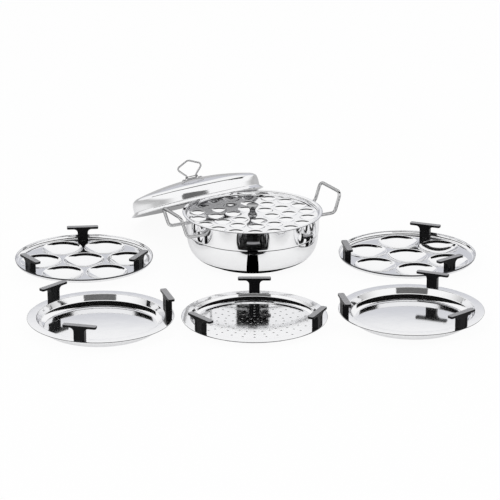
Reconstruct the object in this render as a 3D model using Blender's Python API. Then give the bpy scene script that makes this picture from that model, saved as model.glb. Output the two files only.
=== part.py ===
"""Multi kadai: a two-handled steaming pot with a leaning lid, a mini-idli plate seated in its mouth,
and two idli plates, two dhokla trays and a steamer plate stood round it on the table.

Metres, +Z up. The origin is on the table, under the middle of the pot.
Azimuths are in degrees, from +X towards +Y.
"""

import math

import bmesh
import bpy
from mathutils import Matrix, Vector

# Clearances and sheets

FIT = 0.0003                     # gap kept between two pieces that touch on the real set
LID_REST_GAP = 0.0005            # gap between the leaning lid's edge and the pot's rim
PLATE_SHEET = 0.0010
LID_SHEET = 0.0010
POT_SHEET = 0.0012

# Pot

POT_HEIGHT = 0.0920              # table to the top of the rim
RIM_RADIUS = 0.1280
RIM_LIP_WIDTH = 0.0045           # flat top of the rim
BAND_RADIUS = 0.1216             # outside of the upright band
CREASE_HEIGHT = 0.0560           # where the band steps out from the bowl
CREASE_STEP = 0.0011
MOUTH_FLARE = 0.0120             # height over which the mouth opens out to the rim
BASE_RADIUS = 0.0840
BASE_HEIGHT = 0.0050             # capsule base: cap, core and the bowl's floor on top
BASE_CAP_SHEET = 0.0008
BASE_CORNER = 0.0012

# Side handles of the pot

HANDLE_WIRE_RADIUS = 0.0029
HANDLE_SPAN = 0.0740             # between the middles of the two legs
HANDLE_LEG_HEIGHT = 0.0760       # where the legs leave the band
HANDLE_KNEE_REACH = 0.0300       # from the band to the knee
HANDLE_BAR_REACH = 0.0420        # from the band to the grip bar
HANDLE_BAR_HEIGHT = 0.1135
HANDLE_BEND = 0.0100
HANDLE_ROOT = 0.0116             # leg inside the band, before it is cut to the band's curve
HANDLE_AZIMUTHS = {"right": 28.0, "left": 208.0}

# Lid

LID_RADIUS = 0.1290              # outer edge of the sloping flange
LID_WALL_RADIUS = 0.1220
LID_FLANGE_RISE = 0.0068         # flange edge to the foot of the upright wall
LID_WALL_TOP = 0.0170
LID_SHOULDER = 0.0160
LID_HEIGHT = 0.0464              # edge to the top of the dome, before its middle is pressed level
LID_EDGE_RISE = 0.0006           # the rolled edge's outside, above its lowest line
LID_EDGE_ROLL = 0.0007           # the lowest line, inwards from the outside
LID_OVERLAP = 0.0568             # reach over the pot's rim, counted as if the lid lay flat
LID_AZIMUTH = 121.3              # from the pot's axis to the middle of the lid
LID_LEAN_AZIMUTH = 124.6         # the way that the lid's top leans

# Wire knob of the lid, its bracket and rivets

KNOB_TURN = 57.0                 # from the lid's downhill line to the plane of the loop
KNOB_WIRE_RADIUS = 0.00165
KNOB_FOOT_SPREAD = 0.0090        # from the middle to a leg, where it passes the bracket
KNOB_CORNER_SPREAD = 0.0252
KNOB_CORNER_HEIGHT = 0.0252
KNOB_APEX_HEIGHT = 0.0373
KNOB_FOOT_BEND = 0.0025
KNOB_CORNER_BEND = 0.0050
KNOB_APEX_BEND = 0.0090
BRACKET_SHEET = 0.0012
BRACKET_HEIGHT = 0.0062
BRACKET_WIDTH = 0.0120
BRACKET_EAR = 0.0070
BRACKET_SLOPE = 0.0012           # how far a riser leans out on its way down
LANDING_MARGIN = 0.0005          # level sheet round the bracket's corners
RIVET_RADIUS = 0.0016
RIVET_HEAD_RADIUS = 0.0029
RIVET_HEAD_HEIGHT = 0.0014

# Loose plates: what they share

PLATE_RADIUS = 0.1250
HOLE_PLAY = 0.0003               # round a screw, rivet or wire in its hole

# Idli plates

IDLI_CUP_RADIUS = 0.0360
IDLI_CUP_DEPTH = 0.0120
IDLI_BEAD_WIDTH = 0.0022
IDLI_BEAD_HEIGHT = 0.0012
IDLI_RING_RADIUS = 0.0780
IDLI_RING_CUPS = 6
IDLI_BAND_WIDTH = 0.0056         # upturned band outside the flat web
IDLI_BAND_HEIGHT = 0.0070
IDLI_BAND_BEND = (0.6, 0.3)      # middle of the band's curve: shares of its width and height
IDLI_BOWL_RINGS = (0.92, 0.58, 0)  # rings of a bowl, as shares of the angle of its mouth
IDLI_LUG_RADIUS = 0.1120

# Dhokla trays

DHOKLA_DEPTH = 0.0180
DHOKLA_FLOOR_RADIUS = 0.1052      # where the wall's straight part would meet the floor
DHOKLA_FLANGE_INNER = 0.1086
DHOKLA_FILLET = 0.0080

# Steamer plate

STEAMER_DEPTH = 0.0100
STEAMER_FLOOR_RADIUS = 0.1075
STEAMER_FLANGE_INNER = 0.1102
STEAMER_FILLET = 0.0060
STEAM_HOLE_RADIUS = 0.00125
STEAM_HOLE_RINGS = (
    (0.090, 24), (0.077, 24), (0.064, 24), (0.0505, 24), (0.037, 12), (0.0245, 12), (0.012, 6),
)

TRAY_LUG_RADIUS = 0.1176

# Mini-idli plate and its knob

MINI_DROP = 0.0076               # rim of the pot down to the plate's web
MINI_EDGE_RISE = 0.0020
MINI_EDGE_BEND = 0.4             # share of that rise at the middle of the bend
MINI_CUP_GAP = 0.0037            # web between the cups of the two outer rings
MINI_CUP_DRAFT = 0.0070          # a cup's mouth is this much wider than its floor, all round
MINI_CUP_DEPTH = 0.0058
# Each ring: share of the web's radius, number of cups, azimuth of the first
MINI_CUP_RINGS = ((0.301, 6, -10.0), (0.568, 12, 6.5), (0.860, 18, 12.7))
MINI_KNOB_RADIUS = 0.0110
MINI_KNOB_NECK_RADIUS = 0.0050
MINI_KNOB_FOOT_RADIUS = 0.0085
MINI_KNOB_HEIGHT = 0.0205
MINI_KNOB_FOOT_TOP = 0.08        # heights on the knob, as shares of the whole
MINI_KNOB_WAIST = (0.26, 0.45, 0.70)
MINI_KNOB_WIDEST = 0.88
MINI_KNOB_TOP_EDGE = 0.96
MINI_KNOB_WAIST_SWELL = (1.15, 1.0, 1.5)  # radius at the waist's heights, as shares of the neck's
MINI_KNOB_TOP_SHARE = 0.94       # radius of the level top, as a share of the widest

# T-shaped lugs and the screws that hold them

LUG_HEIGHT = 0.0265
LUG_BAR_WIDTH = 0.0580
LUG_BAR_THICKNESS = 0.0040
LUG_BAR_CHAMFER = 0.0009
LUG_STEM_WIDTH = 0.0188
LUG_FILLET = 0.0070
LUG_DEPTH = 0.0112               # along the plate's radius
SCREW_RADIUS = 0.0016
SCREW_LENGTH = 0.0100            # inside the lug or the knob
SCREW_HEAD_RADIUS = 0.0034
SCREW_HEAD_HEIGHT = 0.0020
BORE_END_ROOM = 0.0010           # past the screw's tip

# Facets

TURN_FACETS = 28
IDLI_CUP_FACETS = 10
MINI_CUP_FACETS = 7
KNOB_FACETS = 12
RIVET_FACETS = 8
SCREW_FACETS = 6
WIRE_FACETS = 6
STEAM_HOLE_FACETS = 4
BEND_STEPS = 3

# Where the loose plates stand: the neighbour, the azimuth from it and the gap between the two rims

PLATE_PLACES = {
    "steamer_plate": ("kadai", -89.47, 0.0728),
    "dhokla_tray_left": ("steamer_plate", 184.86, 0.0122),
    "dhokla_tray_right": ("steamer_plate", 2.45, 0.0186),
    "idli_plate_left": ("dhokla_tray_left", 99.02, 0.0569),
    "idli_plate_right": ("dhokla_tray_right", 87.84, 0.0423),
}
IDLI_CUP_PHASES = {"idli_plate_left": 5.0, "idli_plate_right": 39.0}
LUG_AZIMUTHS = {
    "steamer_plate": (90.0, 219.8, 334.0),
    "dhokla_tray_left": (17.0, 137.0, 256.5),
    "dhokla_tray_right": (68.0, 191.0, 311.5),
    "idli_plate_left": (95.0, 215.0, 335.0),
    "idli_plate_right": (69.0, 189.0, 309.0),
}


# Materials

def finish(name, colour, metallic, roughness):
    material = bpy.data.materials.new(name)
    material.use_nodes = True
    shader = material.node_tree.nodes["Principled BSDF"]
    shader.inputs["Base Color"].default_value = (*colour, 1)
    shader.inputs["Metallic"].default_value = metallic
    shader.inputs["Roughness"].default_value = roughness
    return material


# Mesh helpers

def place(obj, material, parent, location=(0, 0, 0), turn=0.0):
    """Gives a piece its finish and its place on its parent."""
    obj.data.materials.append(material)
    obj.parent = parent
    obj.location = location
    obj.rotation_euler = (0, 0, turn)
    bpy.context.collection.objects.link(obj)
    return obj


def solid(name, bm):
    """Makes an object of a closed bmesh, with its faces pointing out and its round parts smooth."""
    bmesh.ops.recalc_face_normals(bm, faces=bm.faces)
    return smooth_object(name, bm)


def smooth_object(name, bm):
    mesh = bpy.data.meshes.new(name)
    bm.to_mesh(mesh)
    bm.free()
    mesh.shade_smooth()
    mesh.set_sharp_from_angle(angle=math.radians(35))
    return bpy.data.objects.new(name, mesh)


def ring(bm, radius, height, facets, centre=(0, 0), phase=0.0):
    """A level ring of vertices, counter-clockwise from the phase angle."""
    angles = [phase + math.tau * step / facets for step in range(facets)]
    return [
        bm.verts.new((centre[0] + radius * math.cos(angle), centre[1] + radius * math.sin(angle), height))
        for angle in angles
    ]


def join_rings(bm, first, second):
    for index in range(len(first)):
        following = (index + 1) % len(first)
        bm.faces.new((first[index], first[following], second[following], second[index]))


def loop_edges(bm, loop):
    edges = []
    for index, vertex in enumerate(loop):
        ends = (vertex, loop[(index + 1) % len(loop)])
        edges.append(bm.edges.get(ends) or bm.edges.new(ends))
    return edges


def fill_between(bm, outline, holes):
    """Fills a level area inside the outline, around the holes."""
    edges = loop_edges(bm, outline)
    for hole in holes:
        edges += loop_edges(bm, hole)
    bmesh.ops.triangle_fill(bm, edges=edges, use_beauty=True, normal=(0, 0, 1))


def turned(name, outline, facets):
    """Turns a closed outline of (radius, height) points about Z. Points on the axis become poles."""
    bm = bmesh.new()
    vertices = [bm.verts.new((radius, 0, height)) for radius, height in outline]
    edges = [
        bm.edges.new((vertices[index], vertices[(index + 1) % len(vertices)]))
        for index in range(len(vertices))
        if outline[index][0] > 0 or outline[(index + 1) % len(vertices)][0] > 0
    ]
    bmesh.ops.spin(
        bm, geom=vertices + edges, cent=(0, 0, 0), axis=(0, 0, 1), angle=math.tau, steps=facets,
        use_merge=True,
    )
    bmesh.ops.remove_doubles(bm, verts=bm.verts, dist=0.00001)
    return solid(name, bm)


def arc(centre, radii, start, end, steps):
    """Points of an elliptical arc in the (radius, height) plane, both ends included; angles in degrees."""
    points = []
    for step in range(steps + 1):
        angle = math.radians(start + (end - start) * step / steps)
        points.append((centre[0] + radii[0] * math.cos(angle), centre[1] + radii[1] * math.sin(angle)))
    return points


def rounded_path(corners, bends, closed):
    """Replaces each inner corner of a route with an arc of that corner's bend radius."""
    points = []
    count = len(corners)
    for index, (corner, radius) in enumerate(zip(corners, bends)):
        if not closed and index in (0, count - 1):
            points.append(corner)
            continue
        back = (corners[index - 1] - corner).normalized()
        ahead = (corners[(index + 1) % count] - corner).normalized()
        half = back.angle(ahead) / 2
        middle = corner + (back + ahead).normalized() * radius / math.sin(half)
        start = corner + back * radius / math.tan(half) - middle
        end = corner + ahead * radius / math.tan(half) - middle
        for step in range(BEND_STEPS + 1):
            points.append(middle + start.slerp(end, step / BEND_STEPS) * radius)
    return points


def wire(name, path, radius, normal, closed):
    """Sweeps a round wire along a route whose bends keep clear of the normal's direction."""
    bm = bmesh.new()
    count = len(path)
    rings = []
    for index, point in enumerate(path):
        before = path[index - 1] if closed or index > 0 else point
        after = path[(index + 1) % count] if closed or index < count - 1 else point
        ahead = (after - point).normalized()
        behind = (point - before).normalized()
        along = (ahead + behind).normalized()
        side = along.cross(normal).normalized()
        across = side.cross(along)
        stretch = 1 / max(along.dot(ahead), along.dot(behind))
        section = []
        for step in range(WIRE_FACETS):
            angle = math.tau * step / WIRE_FACETS
            offset = side * math.cos(angle) * stretch + across * math.sin(angle)
            section.append(bm.verts.new(point + offset * radius))
        rings.append(section)
    for first, second in zip(rings, rings[1:]):
        join_rings(bm, first, second)
    if closed:
        join_rings(bm, rings[-1], rings[0])
    else:
        bm.faces.new(rings[0])
        bm.faces.new(rings[-1])
    return solid(name, bm)


def cut(target, cutter):
    """Takes the cutter away from the target and hides the cutter."""
    modifier = target.modifiers.new(cutter.name, "BOOLEAN")
    modifier.operation = "DIFFERENCE"
    modifier.solver = "EXACT"
    modifier.object = cutter
    cutter.hide_render = True
    cutter.display_type = "WIRE"


def drill(name, radius, bottom, top, facets):
    """Cutter for the hole that a pin or a wire of this radius passes with play."""
    hole = radius + HOLE_PLAY
    return turned(name, [(0, bottom), (hole, bottom), (hole, top), (0, top)], facets)


def pressed(name, bm, sheet):
    """Gives a sheet, modelled as its upper face, its thickness underneath."""
    bmesh.ops.recalc_face_normals(bm, faces=bm.faces)
    level = max(bm.faces, key=lambda face: abs(face.normal.z) * face.calc_area())
    if level.normal.z < 0:
        bmesh.ops.reverse_faces(bm, faces=bm.faces)
    obj = smooth_object(name, bm)
    thickness = obj.modifiers.new("sheet", "SOLIDIFY")
    thickness.thickness = sheet
    thickness.offset = -1
    thickness.use_even_offset = True
    thickness.use_quality_normals = True
    return obj


def frame(name, matrix):
    empty = bpy.data.objects.new(name, None)
    empty.empty_display_size = 0.02
    empty.matrix_world = matrix
    bpy.context.collection.objects.link(empty)
    return empty


def polar(radius, azimuth):
    angle = math.radians(azimuth)
    return Vector((radius * math.cos(angle), radius * math.sin(angle), 0))


# Fasteners

def screw(name, grip):
    """A pan-head screw from below: its head sits under a grip of sheet, whose top is at height zero."""
    head_top = -grip - FIT
    outline = [
        (0, head_top - SCREW_HEAD_HEIGHT),
        (SCREW_HEAD_RADIUS, head_top - SCREW_HEAD_HEIGHT),
        (SCREW_HEAD_RADIUS, head_top),
        (SCREW_RADIUS, head_top),
        (SCREW_RADIUS, SCREW_LENGTH),
        (0, SCREW_LENGTH),
    ]
    return turned(name, outline, SCREW_FACETS)


def screw_hole(bm, height, centre=(0, 0)):
    return ring(bm, SCREW_RADIUS + HOLE_PLAY, height, SCREW_FACETS, centre)


# Pot

def mouth_radius(height):
    """Inside radius of the pot's flaring mouth at a height above the table."""
    share = (height - POT_HEIGHT + MOUTH_FLARE) / MOUTH_FLARE
    foot = BAND_RADIUS - POT_SHEET
    return foot + (RIM_RADIUS - RIM_LIP_WIDTH - foot) * share


def kadai_shell():
    bowl_top = CREASE_HEIGHT - CREASE_STEP
    bowl_radius = BAND_RADIUS - CREASE_STEP
    bowl_centre = (BASE_RADIUS, bowl_top)
    outer_radii = (bowl_radius - BASE_RADIUS, bowl_top - BASE_HEIGHT)
    inner_radii = (outer_radii[0] - POT_SHEET, outer_radii[1] - POT_SHEET)
    band_top = POT_HEIGHT - MOUTH_FLARE
    lip_under = POT_HEIGHT - POT_SHEET
    outline = [(0, BASE_HEIGHT)]
    outline += arc(bowl_centre, outer_radii, -90, 0, 5)
    outline += [
        (BAND_RADIUS, CREASE_HEIGHT),
        (BAND_RADIUS, band_top),
        (mouth_radius(lip_under) + POT_SHEET, lip_under),
        (RIM_RADIUS, lip_under),
        (RIM_RADIUS, POT_HEIGHT),
        (RIM_RADIUS - RIM_LIP_WIDTH, POT_HEIGHT),
        (BAND_RADIUS - POT_SHEET, band_top),
        (BAND_RADIUS - POT_SHEET, CREASE_HEIGHT + POT_SHEET / 2),
    ]
    outline += arc(bowl_centre, inner_radii, 0, -90, 3)
    outline += [(0, BASE_HEIGHT + POT_SHEET)]
    return turned("kadai_shell", outline, TURN_FACETS)


def base_cap():
    """Steel dish that closes the capsule base round its core."""
    top = BASE_HEIGHT - FIT
    inner = BASE_RADIUS - BASE_CAP_SHEET
    outline = [
        (0, 0),
        (BASE_RADIUS - BASE_CORNER, 0),
        (BASE_RADIUS, BASE_CORNER),
        (BASE_RADIUS, top),
        (inner, top),
        (inner, BASE_CAP_SHEET),
        (0, BASE_CAP_SHEET),
    ]
    return turned("kadai_base_cap", outline, TURN_FACETS)


def base_core():
    """Aluminium disc that spreads the heat, between the cap and the bowl."""
    radius = BASE_RADIUS - BASE_CAP_SHEET - FIT
    bottom = BASE_CAP_SHEET + FIT
    top = BASE_HEIGHT - FIT
    outline = [(0, bottom), (radius, bottom), (radius, top), (0, top)]
    return turned("kadai_base_core", outline, TURN_FACETS)


def side_handle(side):
    """Bent wire handle. Its X runs along the grip bar and its Y away from the pot's axis."""
    half = HANDLE_SPAN / 2
    inside = BAND_RADIUS - HANDLE_ROOT
    knee = BAND_RADIUS + HANDLE_KNEE_REACH
    bar = BAND_RADIUS + HANDLE_BAR_REACH
    corners = [
        Vector((half, inside, HANDLE_LEG_HEIGHT)),
        Vector((half, knee, HANDLE_LEG_HEIGHT)),
        Vector((half, bar, HANDLE_BAR_HEIGHT)),
        Vector((-half, bar, HANDLE_BAR_HEIGHT)),
        Vector((-half, knee, HANDLE_LEG_HEIGHT)),
        Vector((-half, inside, HANDLE_LEG_HEIGHT)),
    ]
    upward = Vector((0, -1, 1))
    path = rounded_path(corners, [HANDLE_BEND] * len(corners), False)
    return wire("kadai_handle_" + side, path, HANDLE_WIRE_RADIUS, upward, False)


def make_pot(steel, aluminium):
    root = frame("kadai_frame", Matrix.Identity(4))
    place(kadai_shell(), steel, root)
    place(base_cap(), steel, root)
    place(base_core(), aluminium, root)
    drum = [(0, 0), (BAND_RADIUS + FIT, 0), (BAND_RADIUS + FIT, POT_HEIGHT), (0, POT_HEIGHT)]
    band = place(turned("band_cutter", drum, TURN_FACETS), steel, root)
    for side, azimuth in HANDLE_AZIMUTHS.items():
        handle = place(side_handle(side), steel, root, turn=math.radians(azimuth - 90))
        cut(handle, band)


# Lid

def crown_radius():
    """Radius of the domed crown that meets the shoulder without a kink."""
    reach = LID_WALL_RADIUS - LID_SHOULDER
    rise = LID_HEIGHT - LID_WALL_TOP
    return (reach ** 2 + rise ** 2 - LID_SHOULDER ** 2) / (2 * (rise - LID_SHOULDER))


def crown_height(radius):
    """Height of the lid's outer face above its edge, on the crown."""
    dome = crown_radius()
    return LID_HEIGHT - dome + math.sqrt(dome ** 2 - radius ** 2)


def landing_radius():
    """Radius of the level landing that the knob's bracket is riveted to."""
    return math.hypot(bracket_half_widths()[1] + BRACKET_EAR, BRACKET_WIDTH / 2) + LANDING_MARGIN


def landing_height():
    return crown_height(landing_radius())


def lid_face(inset, crown_steps, shoulder_steps):
    """The lid's outer face, from its middle to the foot of the wall, or a face inset from it."""
    dome = crown_radius()
    centre = (0, LID_HEIGHT - dome)
    reach = LID_WALL_RADIUS - LID_SHOULDER
    tilt = math.degrees(math.asin(reach / (dome - LID_SHOULDER)))
    landing_tilt = math.degrees(math.asin(landing_radius() / dome))
    points = [(0, landing_height() - inset), (landing_radius(), landing_height() - inset)]
    points += arc(centre, (dome - inset,) * 2, 90 - landing_tilt, 90 - tilt, crown_steps)[1:]
    points += arc((reach, LID_WALL_TOP), (LID_SHOULDER - inset,) * 2, 90 - tilt, 0, shoulder_steps)[1:]
    points.append((LID_WALL_RADIUS - inset, LID_FLANGE_RISE - inset / 2))
    return points


def lid_shell():
    outer = lid_face(0, 2, 3)
    inner = lid_face(LID_SHEET, 2, 3)
    edge = [(LID_RADIUS, LID_EDGE_RISE), (LID_RADIUS - LID_EDGE_ROLL, 0)]
    return turned("lid_shell", outer + edge + inner[::-1], TURN_FACETS)


def lid_place(lean):
    """Frame of the leaning lid: its edge stands on the table and its top leans away from the pot."""
    centre = polar(RIM_RADIUS + LID_RADIUS - LID_OVERLAP, LID_AZIMUTH)
    centre.z = LID_RADIUS * math.sin(lean) + FIT
    turn = Matrix.Rotation(math.radians(LID_LEAN_AZIMUTH), 4, "Z") @ Matrix.Rotation(lean, 4, "Y")
    return Matrix.Translation(centre) @ turn


def lid_clearance(lean):
    """Least height of the lid's edge above the pot's rim, where the edge is over the pot."""
    matrix = lid_place(lean)
    heights = []
    for degree in range(720):
        point = matrix @ polar(LID_RADIUS, degree / 2)
        if math.hypot(point.x, point.y) < RIM_RADIUS + FIT:
            heights.append(point.z - POT_HEIGHT)
    return min(heights)


def lid_lean():
    """The least lean at which the lid's edge clears the pot's rim, found by halving."""
    low = 0.0
    high = math.radians(70)
    while high - low > 0.00001:
        middle = (low + high) / 2
        if lid_clearance(middle) < LID_REST_GAP:
            low = middle
        else:
            high = middle
    return high


def bracket_half_widths():
    """Half widths of the bracket's top and of its foot, round the two legs of the wire loop."""
    top = KNOB_FOOT_SPREAD + KNOB_WIRE_RADIUS + HOLE_PLAY + BRACKET_SHEET / 2
    return top, top + BRACKET_SLOPE


def rivet_spread():
    return bracket_half_widths()[1] + BRACKET_EAR / 2


def knob_bracket():
    """Hat-section strap that holds the wire loop down."""
    top, foot = bracket_half_widths()
    ear_end = foot + BRACKET_EAR
    sheet = BRACKET_SHEET
    half = [
        (top, BRACKET_HEIGHT),
        (foot, sheet),
        (ear_end, sheet),
        (ear_end, 0),
        (foot - sheet, 0),
        (top - sheet, BRACKET_HEIGHT - sheet),
    ]
    outline = half + [(-x, z) for x, z in half[::-1]]
    bm = bmesh.new()
    face = bm.faces.new([bm.verts.new((x, -BRACKET_WIDTH / 2, z)) for x, z in outline])
    grown = bmesh.ops.extrude_face_region(bm, geom=[face])["geom"]
    moved = [item for item in grown if isinstance(item, bmesh.types.BMVert)]
    bmesh.ops.translate(bm, verts=moved, vec=(0, BRACKET_WIDTH, 0))
    return solid("lid_knob_bracket", bm)


def knob_loop():
    """The wire loop that lifts the lid. Its legs pass the bracket's top and join under it."""
    low = KNOB_WIRE_RADIUS + FIT
    neck = BRACKET_HEIGHT + KNOB_WIRE_RADIUS
    corners = [
        Vector((KNOB_FOOT_SPREAD, 0, low)),
        Vector((KNOB_FOOT_SPREAD, 0, neck)),
        Vector((KNOB_CORNER_SPREAD, 0, KNOB_CORNER_HEIGHT)),
        Vector((0, 0, KNOB_APEX_HEIGHT)),
        Vector((-KNOB_CORNER_SPREAD, 0, KNOB_CORNER_HEIGHT)),
        Vector((-KNOB_FOOT_SPREAD, 0, neck)),
        Vector((-KNOB_FOOT_SPREAD, 0, low)),
    ]
    rising = [KNOB_FOOT_BEND, KNOB_FOOT_BEND, KNOB_CORNER_BEND]
    path = rounded_path(corners, rising + [KNOB_APEX_BEND] + rising[::-1], True)
    return wire("lid_knob_loop", path, KNOB_WIRE_RADIUS, Vector((0, 1, 0)), True)


def rivet(name, grip):
    """A domed rivet through a grip of sheets, whose top is at height zero."""
    under = -grip - FIT
    outline = [
        (0, under - RIVET_HEAD_HEIGHT / 2),
        (RIVET_HEAD_RADIUS, under - RIVET_HEAD_HEIGHT / 2),
        (RIVET_HEAD_RADIUS, under),
        (RIVET_RADIUS, under),
        (RIVET_RADIUS, FIT),
        (RIVET_HEAD_RADIUS, FIT),
    ]
    outline += arc((0, FIT), (RIVET_HEAD_RADIUS, RIVET_HEAD_HEIGHT), 30, 90, 2)
    outline[-1] = (0, FIT + RIVET_HEAD_HEIGHT)
    return turned(name, outline, RIVET_FACETS)


def make_lid(steel):
    lid = frame("lid_frame", lid_place(lid_lean()))
    shell = place(lid_shell(), steel, lid)
    landing = landing_height()
    turn = math.radians(KNOB_TURN)
    bracket = place(knob_bracket(), steel, lid, (0, 0, landing + FIT), turn)
    place(knob_loop(), steel, lid, (0, 0, landing), turn)
    grip = BRACKET_SHEET + FIT + LID_SHEET
    for side, sign in (("right", 1), ("left", -1)):
        spot = polar(sign * rivet_spread(), KNOB_TURN)
        spot.z = landing + FIT + BRACKET_SHEET
        place(rivet("lid_rivet_" + side, grip), steel, lid, spot)
        cutter = drill("rivet_cutter_" + side, RIVET_RADIUS, -2 * grip, grip, RIVET_FACETS)
        place(cutter, steel, lid, spot)
        cut(shell, cutter)
        cut(bracket, cutter)
        spot = polar(sign * KNOB_FOOT_SPREAD, KNOB_TURN)
        spot.z = landing
        cutter = drill("leg_cutter_" + side, KNOB_WIRE_RADIUS, 2 * FIT, BRACKET_HEIGHT * 2, WIRE_FACETS)
        place(cutter, steel, lid, spot, turn)
        cut(bracket, cutter)


# Plates

def cup(bm, centre, profile, facets, phase):
    """A cup pressed into a level web: rings from its mouth inwards, closed by a level floor or by a pole."""
    rings = [ring(bm, radius, height, facets, centre, phase) for radius, height in profile if radius > 0]
    for first, second in zip(rings, rings[1:]):
        join_rings(bm, first, second)
    if profile[-1][0] > 0:
        bm.faces.new(rings[-1])
        return rings[0]
    pole = bm.verts.new((centre[0], centre[1], profile[-1][1]))
    last = rings[-1]
    for index in range(facets):
        bm.faces.new((last[index], last[(index + 1) % facets], pole))
    return rings[0]


def rim(bm, profile):
    """Rings of a turned rim, joined in order."""
    rings = [ring(bm, radius, height, TURN_FACETS) for radius, height in profile]
    for first, second in zip(rings, rings[1:]):
        join_rings(bm, first, second)
    return rings


def idli_cup_profile(web):
    """Bead round the mouth, then a shallow round bowl."""
    bowl = (IDLI_CUP_RADIUS ** 2 + IDLI_CUP_DEPTH ** 2) / (2 * IDLI_CUP_DEPTH)
    mouth = math.asin(IDLI_CUP_RADIUS / bowl)
    profile = [
        (IDLI_CUP_RADIUS + IDLI_BEAD_WIDTH, web),
        (IDLI_CUP_RADIUS + IDLI_BEAD_WIDTH / 2, web + IDLI_BEAD_HEIGHT),
    ]
    for share in IDLI_BOWL_RINGS:
        angle = mouth * share
        profile.append((bowl * math.sin(angle), web - IDLI_CUP_DEPTH + bowl * (1 - math.cos(angle))))
    return profile


def idli_plate(name, phase, lug_spots):
    """Flat web with a ring of beaded cups, inside an upturned band."""
    web = IDLI_CUP_DEPTH + PLATE_SHEET
    bm = bmesh.new()
    top = PLATE_RADIUS - PLATE_SHEET
    edge = top - IDLI_BAND_WIDTH
    band = [
        (edge, web),
        (edge + IDLI_BAND_WIDTH * IDLI_BAND_BEND[0], web + IDLI_BAND_HEIGHT * IDLI_BAND_BEND[1]),
        (top, web + IDLI_BAND_HEIGHT),
    ]
    outline = rim(bm, band)[0]
    profile = idli_cup_profile(web)
    centres = [Vector((0, 0, 0))]
    step_angle = 360 / IDLI_RING_CUPS
    centres += [polar(IDLI_RING_RADIUS, phase + step_angle * step) for step in range(IDLI_RING_CUPS)]
    holes = [cup(bm, centre, profile, IDLI_CUP_FACETS, math.radians(phase)) for centre in centres]
    holes += [screw_hole(bm, web, spot) for spot in lug_spots]
    fill_between(bm, outline, holes)
    return pressed(name, bm, PLATE_SHEET), web


def tray_profile(floor_radius, flange_inner, depth, fillet):
    """Upper face of a round tray, from the floor's edge to the flange's inner edge."""
    floor = PLATE_SHEET
    flange = depth + PLATE_SHEET
    middle = fillet * (1 - math.cos(math.radians(45)))
    return [
        (floor_radius - fillet, floor),
        (floor_radius - middle, floor + middle),
        (floor_radius, floor + fillet),
        (flange_inner, flange),
    ]


def tray(name, profile, lug_spots, floor_holes):
    """Round tray with a level floor and a level flange that carries the lugs."""
    bm = bmesh.new()
    rings = rim(bm, profile)
    flange = profile[-1][1]
    outer = ring(bm, PLATE_RADIUS, flange, TURN_FACETS)
    fill_between(bm, outer, [rings[-1]] + [screw_hole(bm, flange, spot) for spot in lug_spots])
    if floor_holes:
        floor = profile[0][1]
        drains = [ring(bm, STEAM_HOLE_RADIUS, floor, STEAM_HOLE_FACETS, spot) for spot in floor_holes]
        fill_between(bm, rings[0], drains)
    else:
        bm.faces.new(rings[0])
    return pressed(name, bm, PLATE_SHEET), flange


def steam_hole_spots():
    """One hole in the middle and rings of holes round it."""
    spots = [Vector((0, 0, 0))]
    for radius, count in STEAM_HOLE_RINGS:
        spots += [polar(radius, 360 * step / count) for step in range(count)]
    return spots


def mini_idli_plate():
    """Plate of small cups that drops into the pot's mouth and seats on its flare."""
    web = POT_HEIGHT - MINI_DROP
    side_gap = PLATE_SHEET + FIT
    lip = web + MINI_EDGE_RISE
    web_radius = mouth_radius(web - PLATE_SHEET) - side_gap - MINI_EDGE_RISE
    outer_share, middle_share = MINI_CUP_RINGS[-1][0], MINI_CUP_RINGS[-2][0]
    cup_radius = (web_radius * (outer_share - middle_share) - MINI_CUP_GAP) / 2
    bm = bmesh.new()
    edge = [
        (web_radius, web),
        (mouth_radius(web) - side_gap, web + MINI_EDGE_RISE * MINI_EDGE_BEND),
        (mouth_radius(lip) - side_gap, lip),
    ]
    outline = rim(bm, edge)[0]
    profile = [(cup_radius, web), (cup_radius - MINI_CUP_DRAFT, web - MINI_CUP_DEPTH)]
    holes = [screw_hole(bm, web)]
    for share, count, phase in MINI_CUP_RINGS:
        for step in range(count):
            azimuth = phase + 360 * step / count
            spot = polar(web_radius * share, azimuth)
            holes.append(cup(bm, spot, profile, MINI_CUP_FACETS, math.radians(azimuth)))
    fill_between(bm, outline, holes)
    return pressed("mini_idli_plate", bm, PLATE_SHEET), web


def blind_bore():
    """Bore of a knob or lug, as the end of an outline that starts on the axis, inside."""
    radius = SCREW_RADIUS + HOLE_PLAY
    depth = SCREW_LENGTH + BORE_END_ROOM
    return [(0, depth), (radius, depth), (radius, 0)]


def mini_knob():
    """Waisted steel knob of the mini-idli plate."""
    outline = blind_bore()
    outline += [(MINI_KNOB_FOOT_RADIUS, 0), (MINI_KNOB_FOOT_RADIUS, MINI_KNOB_HEIGHT * MINI_KNOB_FOOT_TOP)]
    for swell, share in zip(MINI_KNOB_WAIST_SWELL, MINI_KNOB_WAIST):
        outline.append((MINI_KNOB_NECK_RADIUS * swell, MINI_KNOB_HEIGHT * share))
    outline += [
        (MINI_KNOB_RADIUS, MINI_KNOB_HEIGHT * MINI_KNOB_WIDEST),
        (MINI_KNOB_RADIUS * MINI_KNOB_TOP_SHARE, MINI_KNOB_HEIGHT * MINI_KNOB_TOP_EDGE),
        (0, MINI_KNOB_HEIGHT),
    ]
    return turned("mini_idli_knob", outline, KNOB_FACETS)


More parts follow.
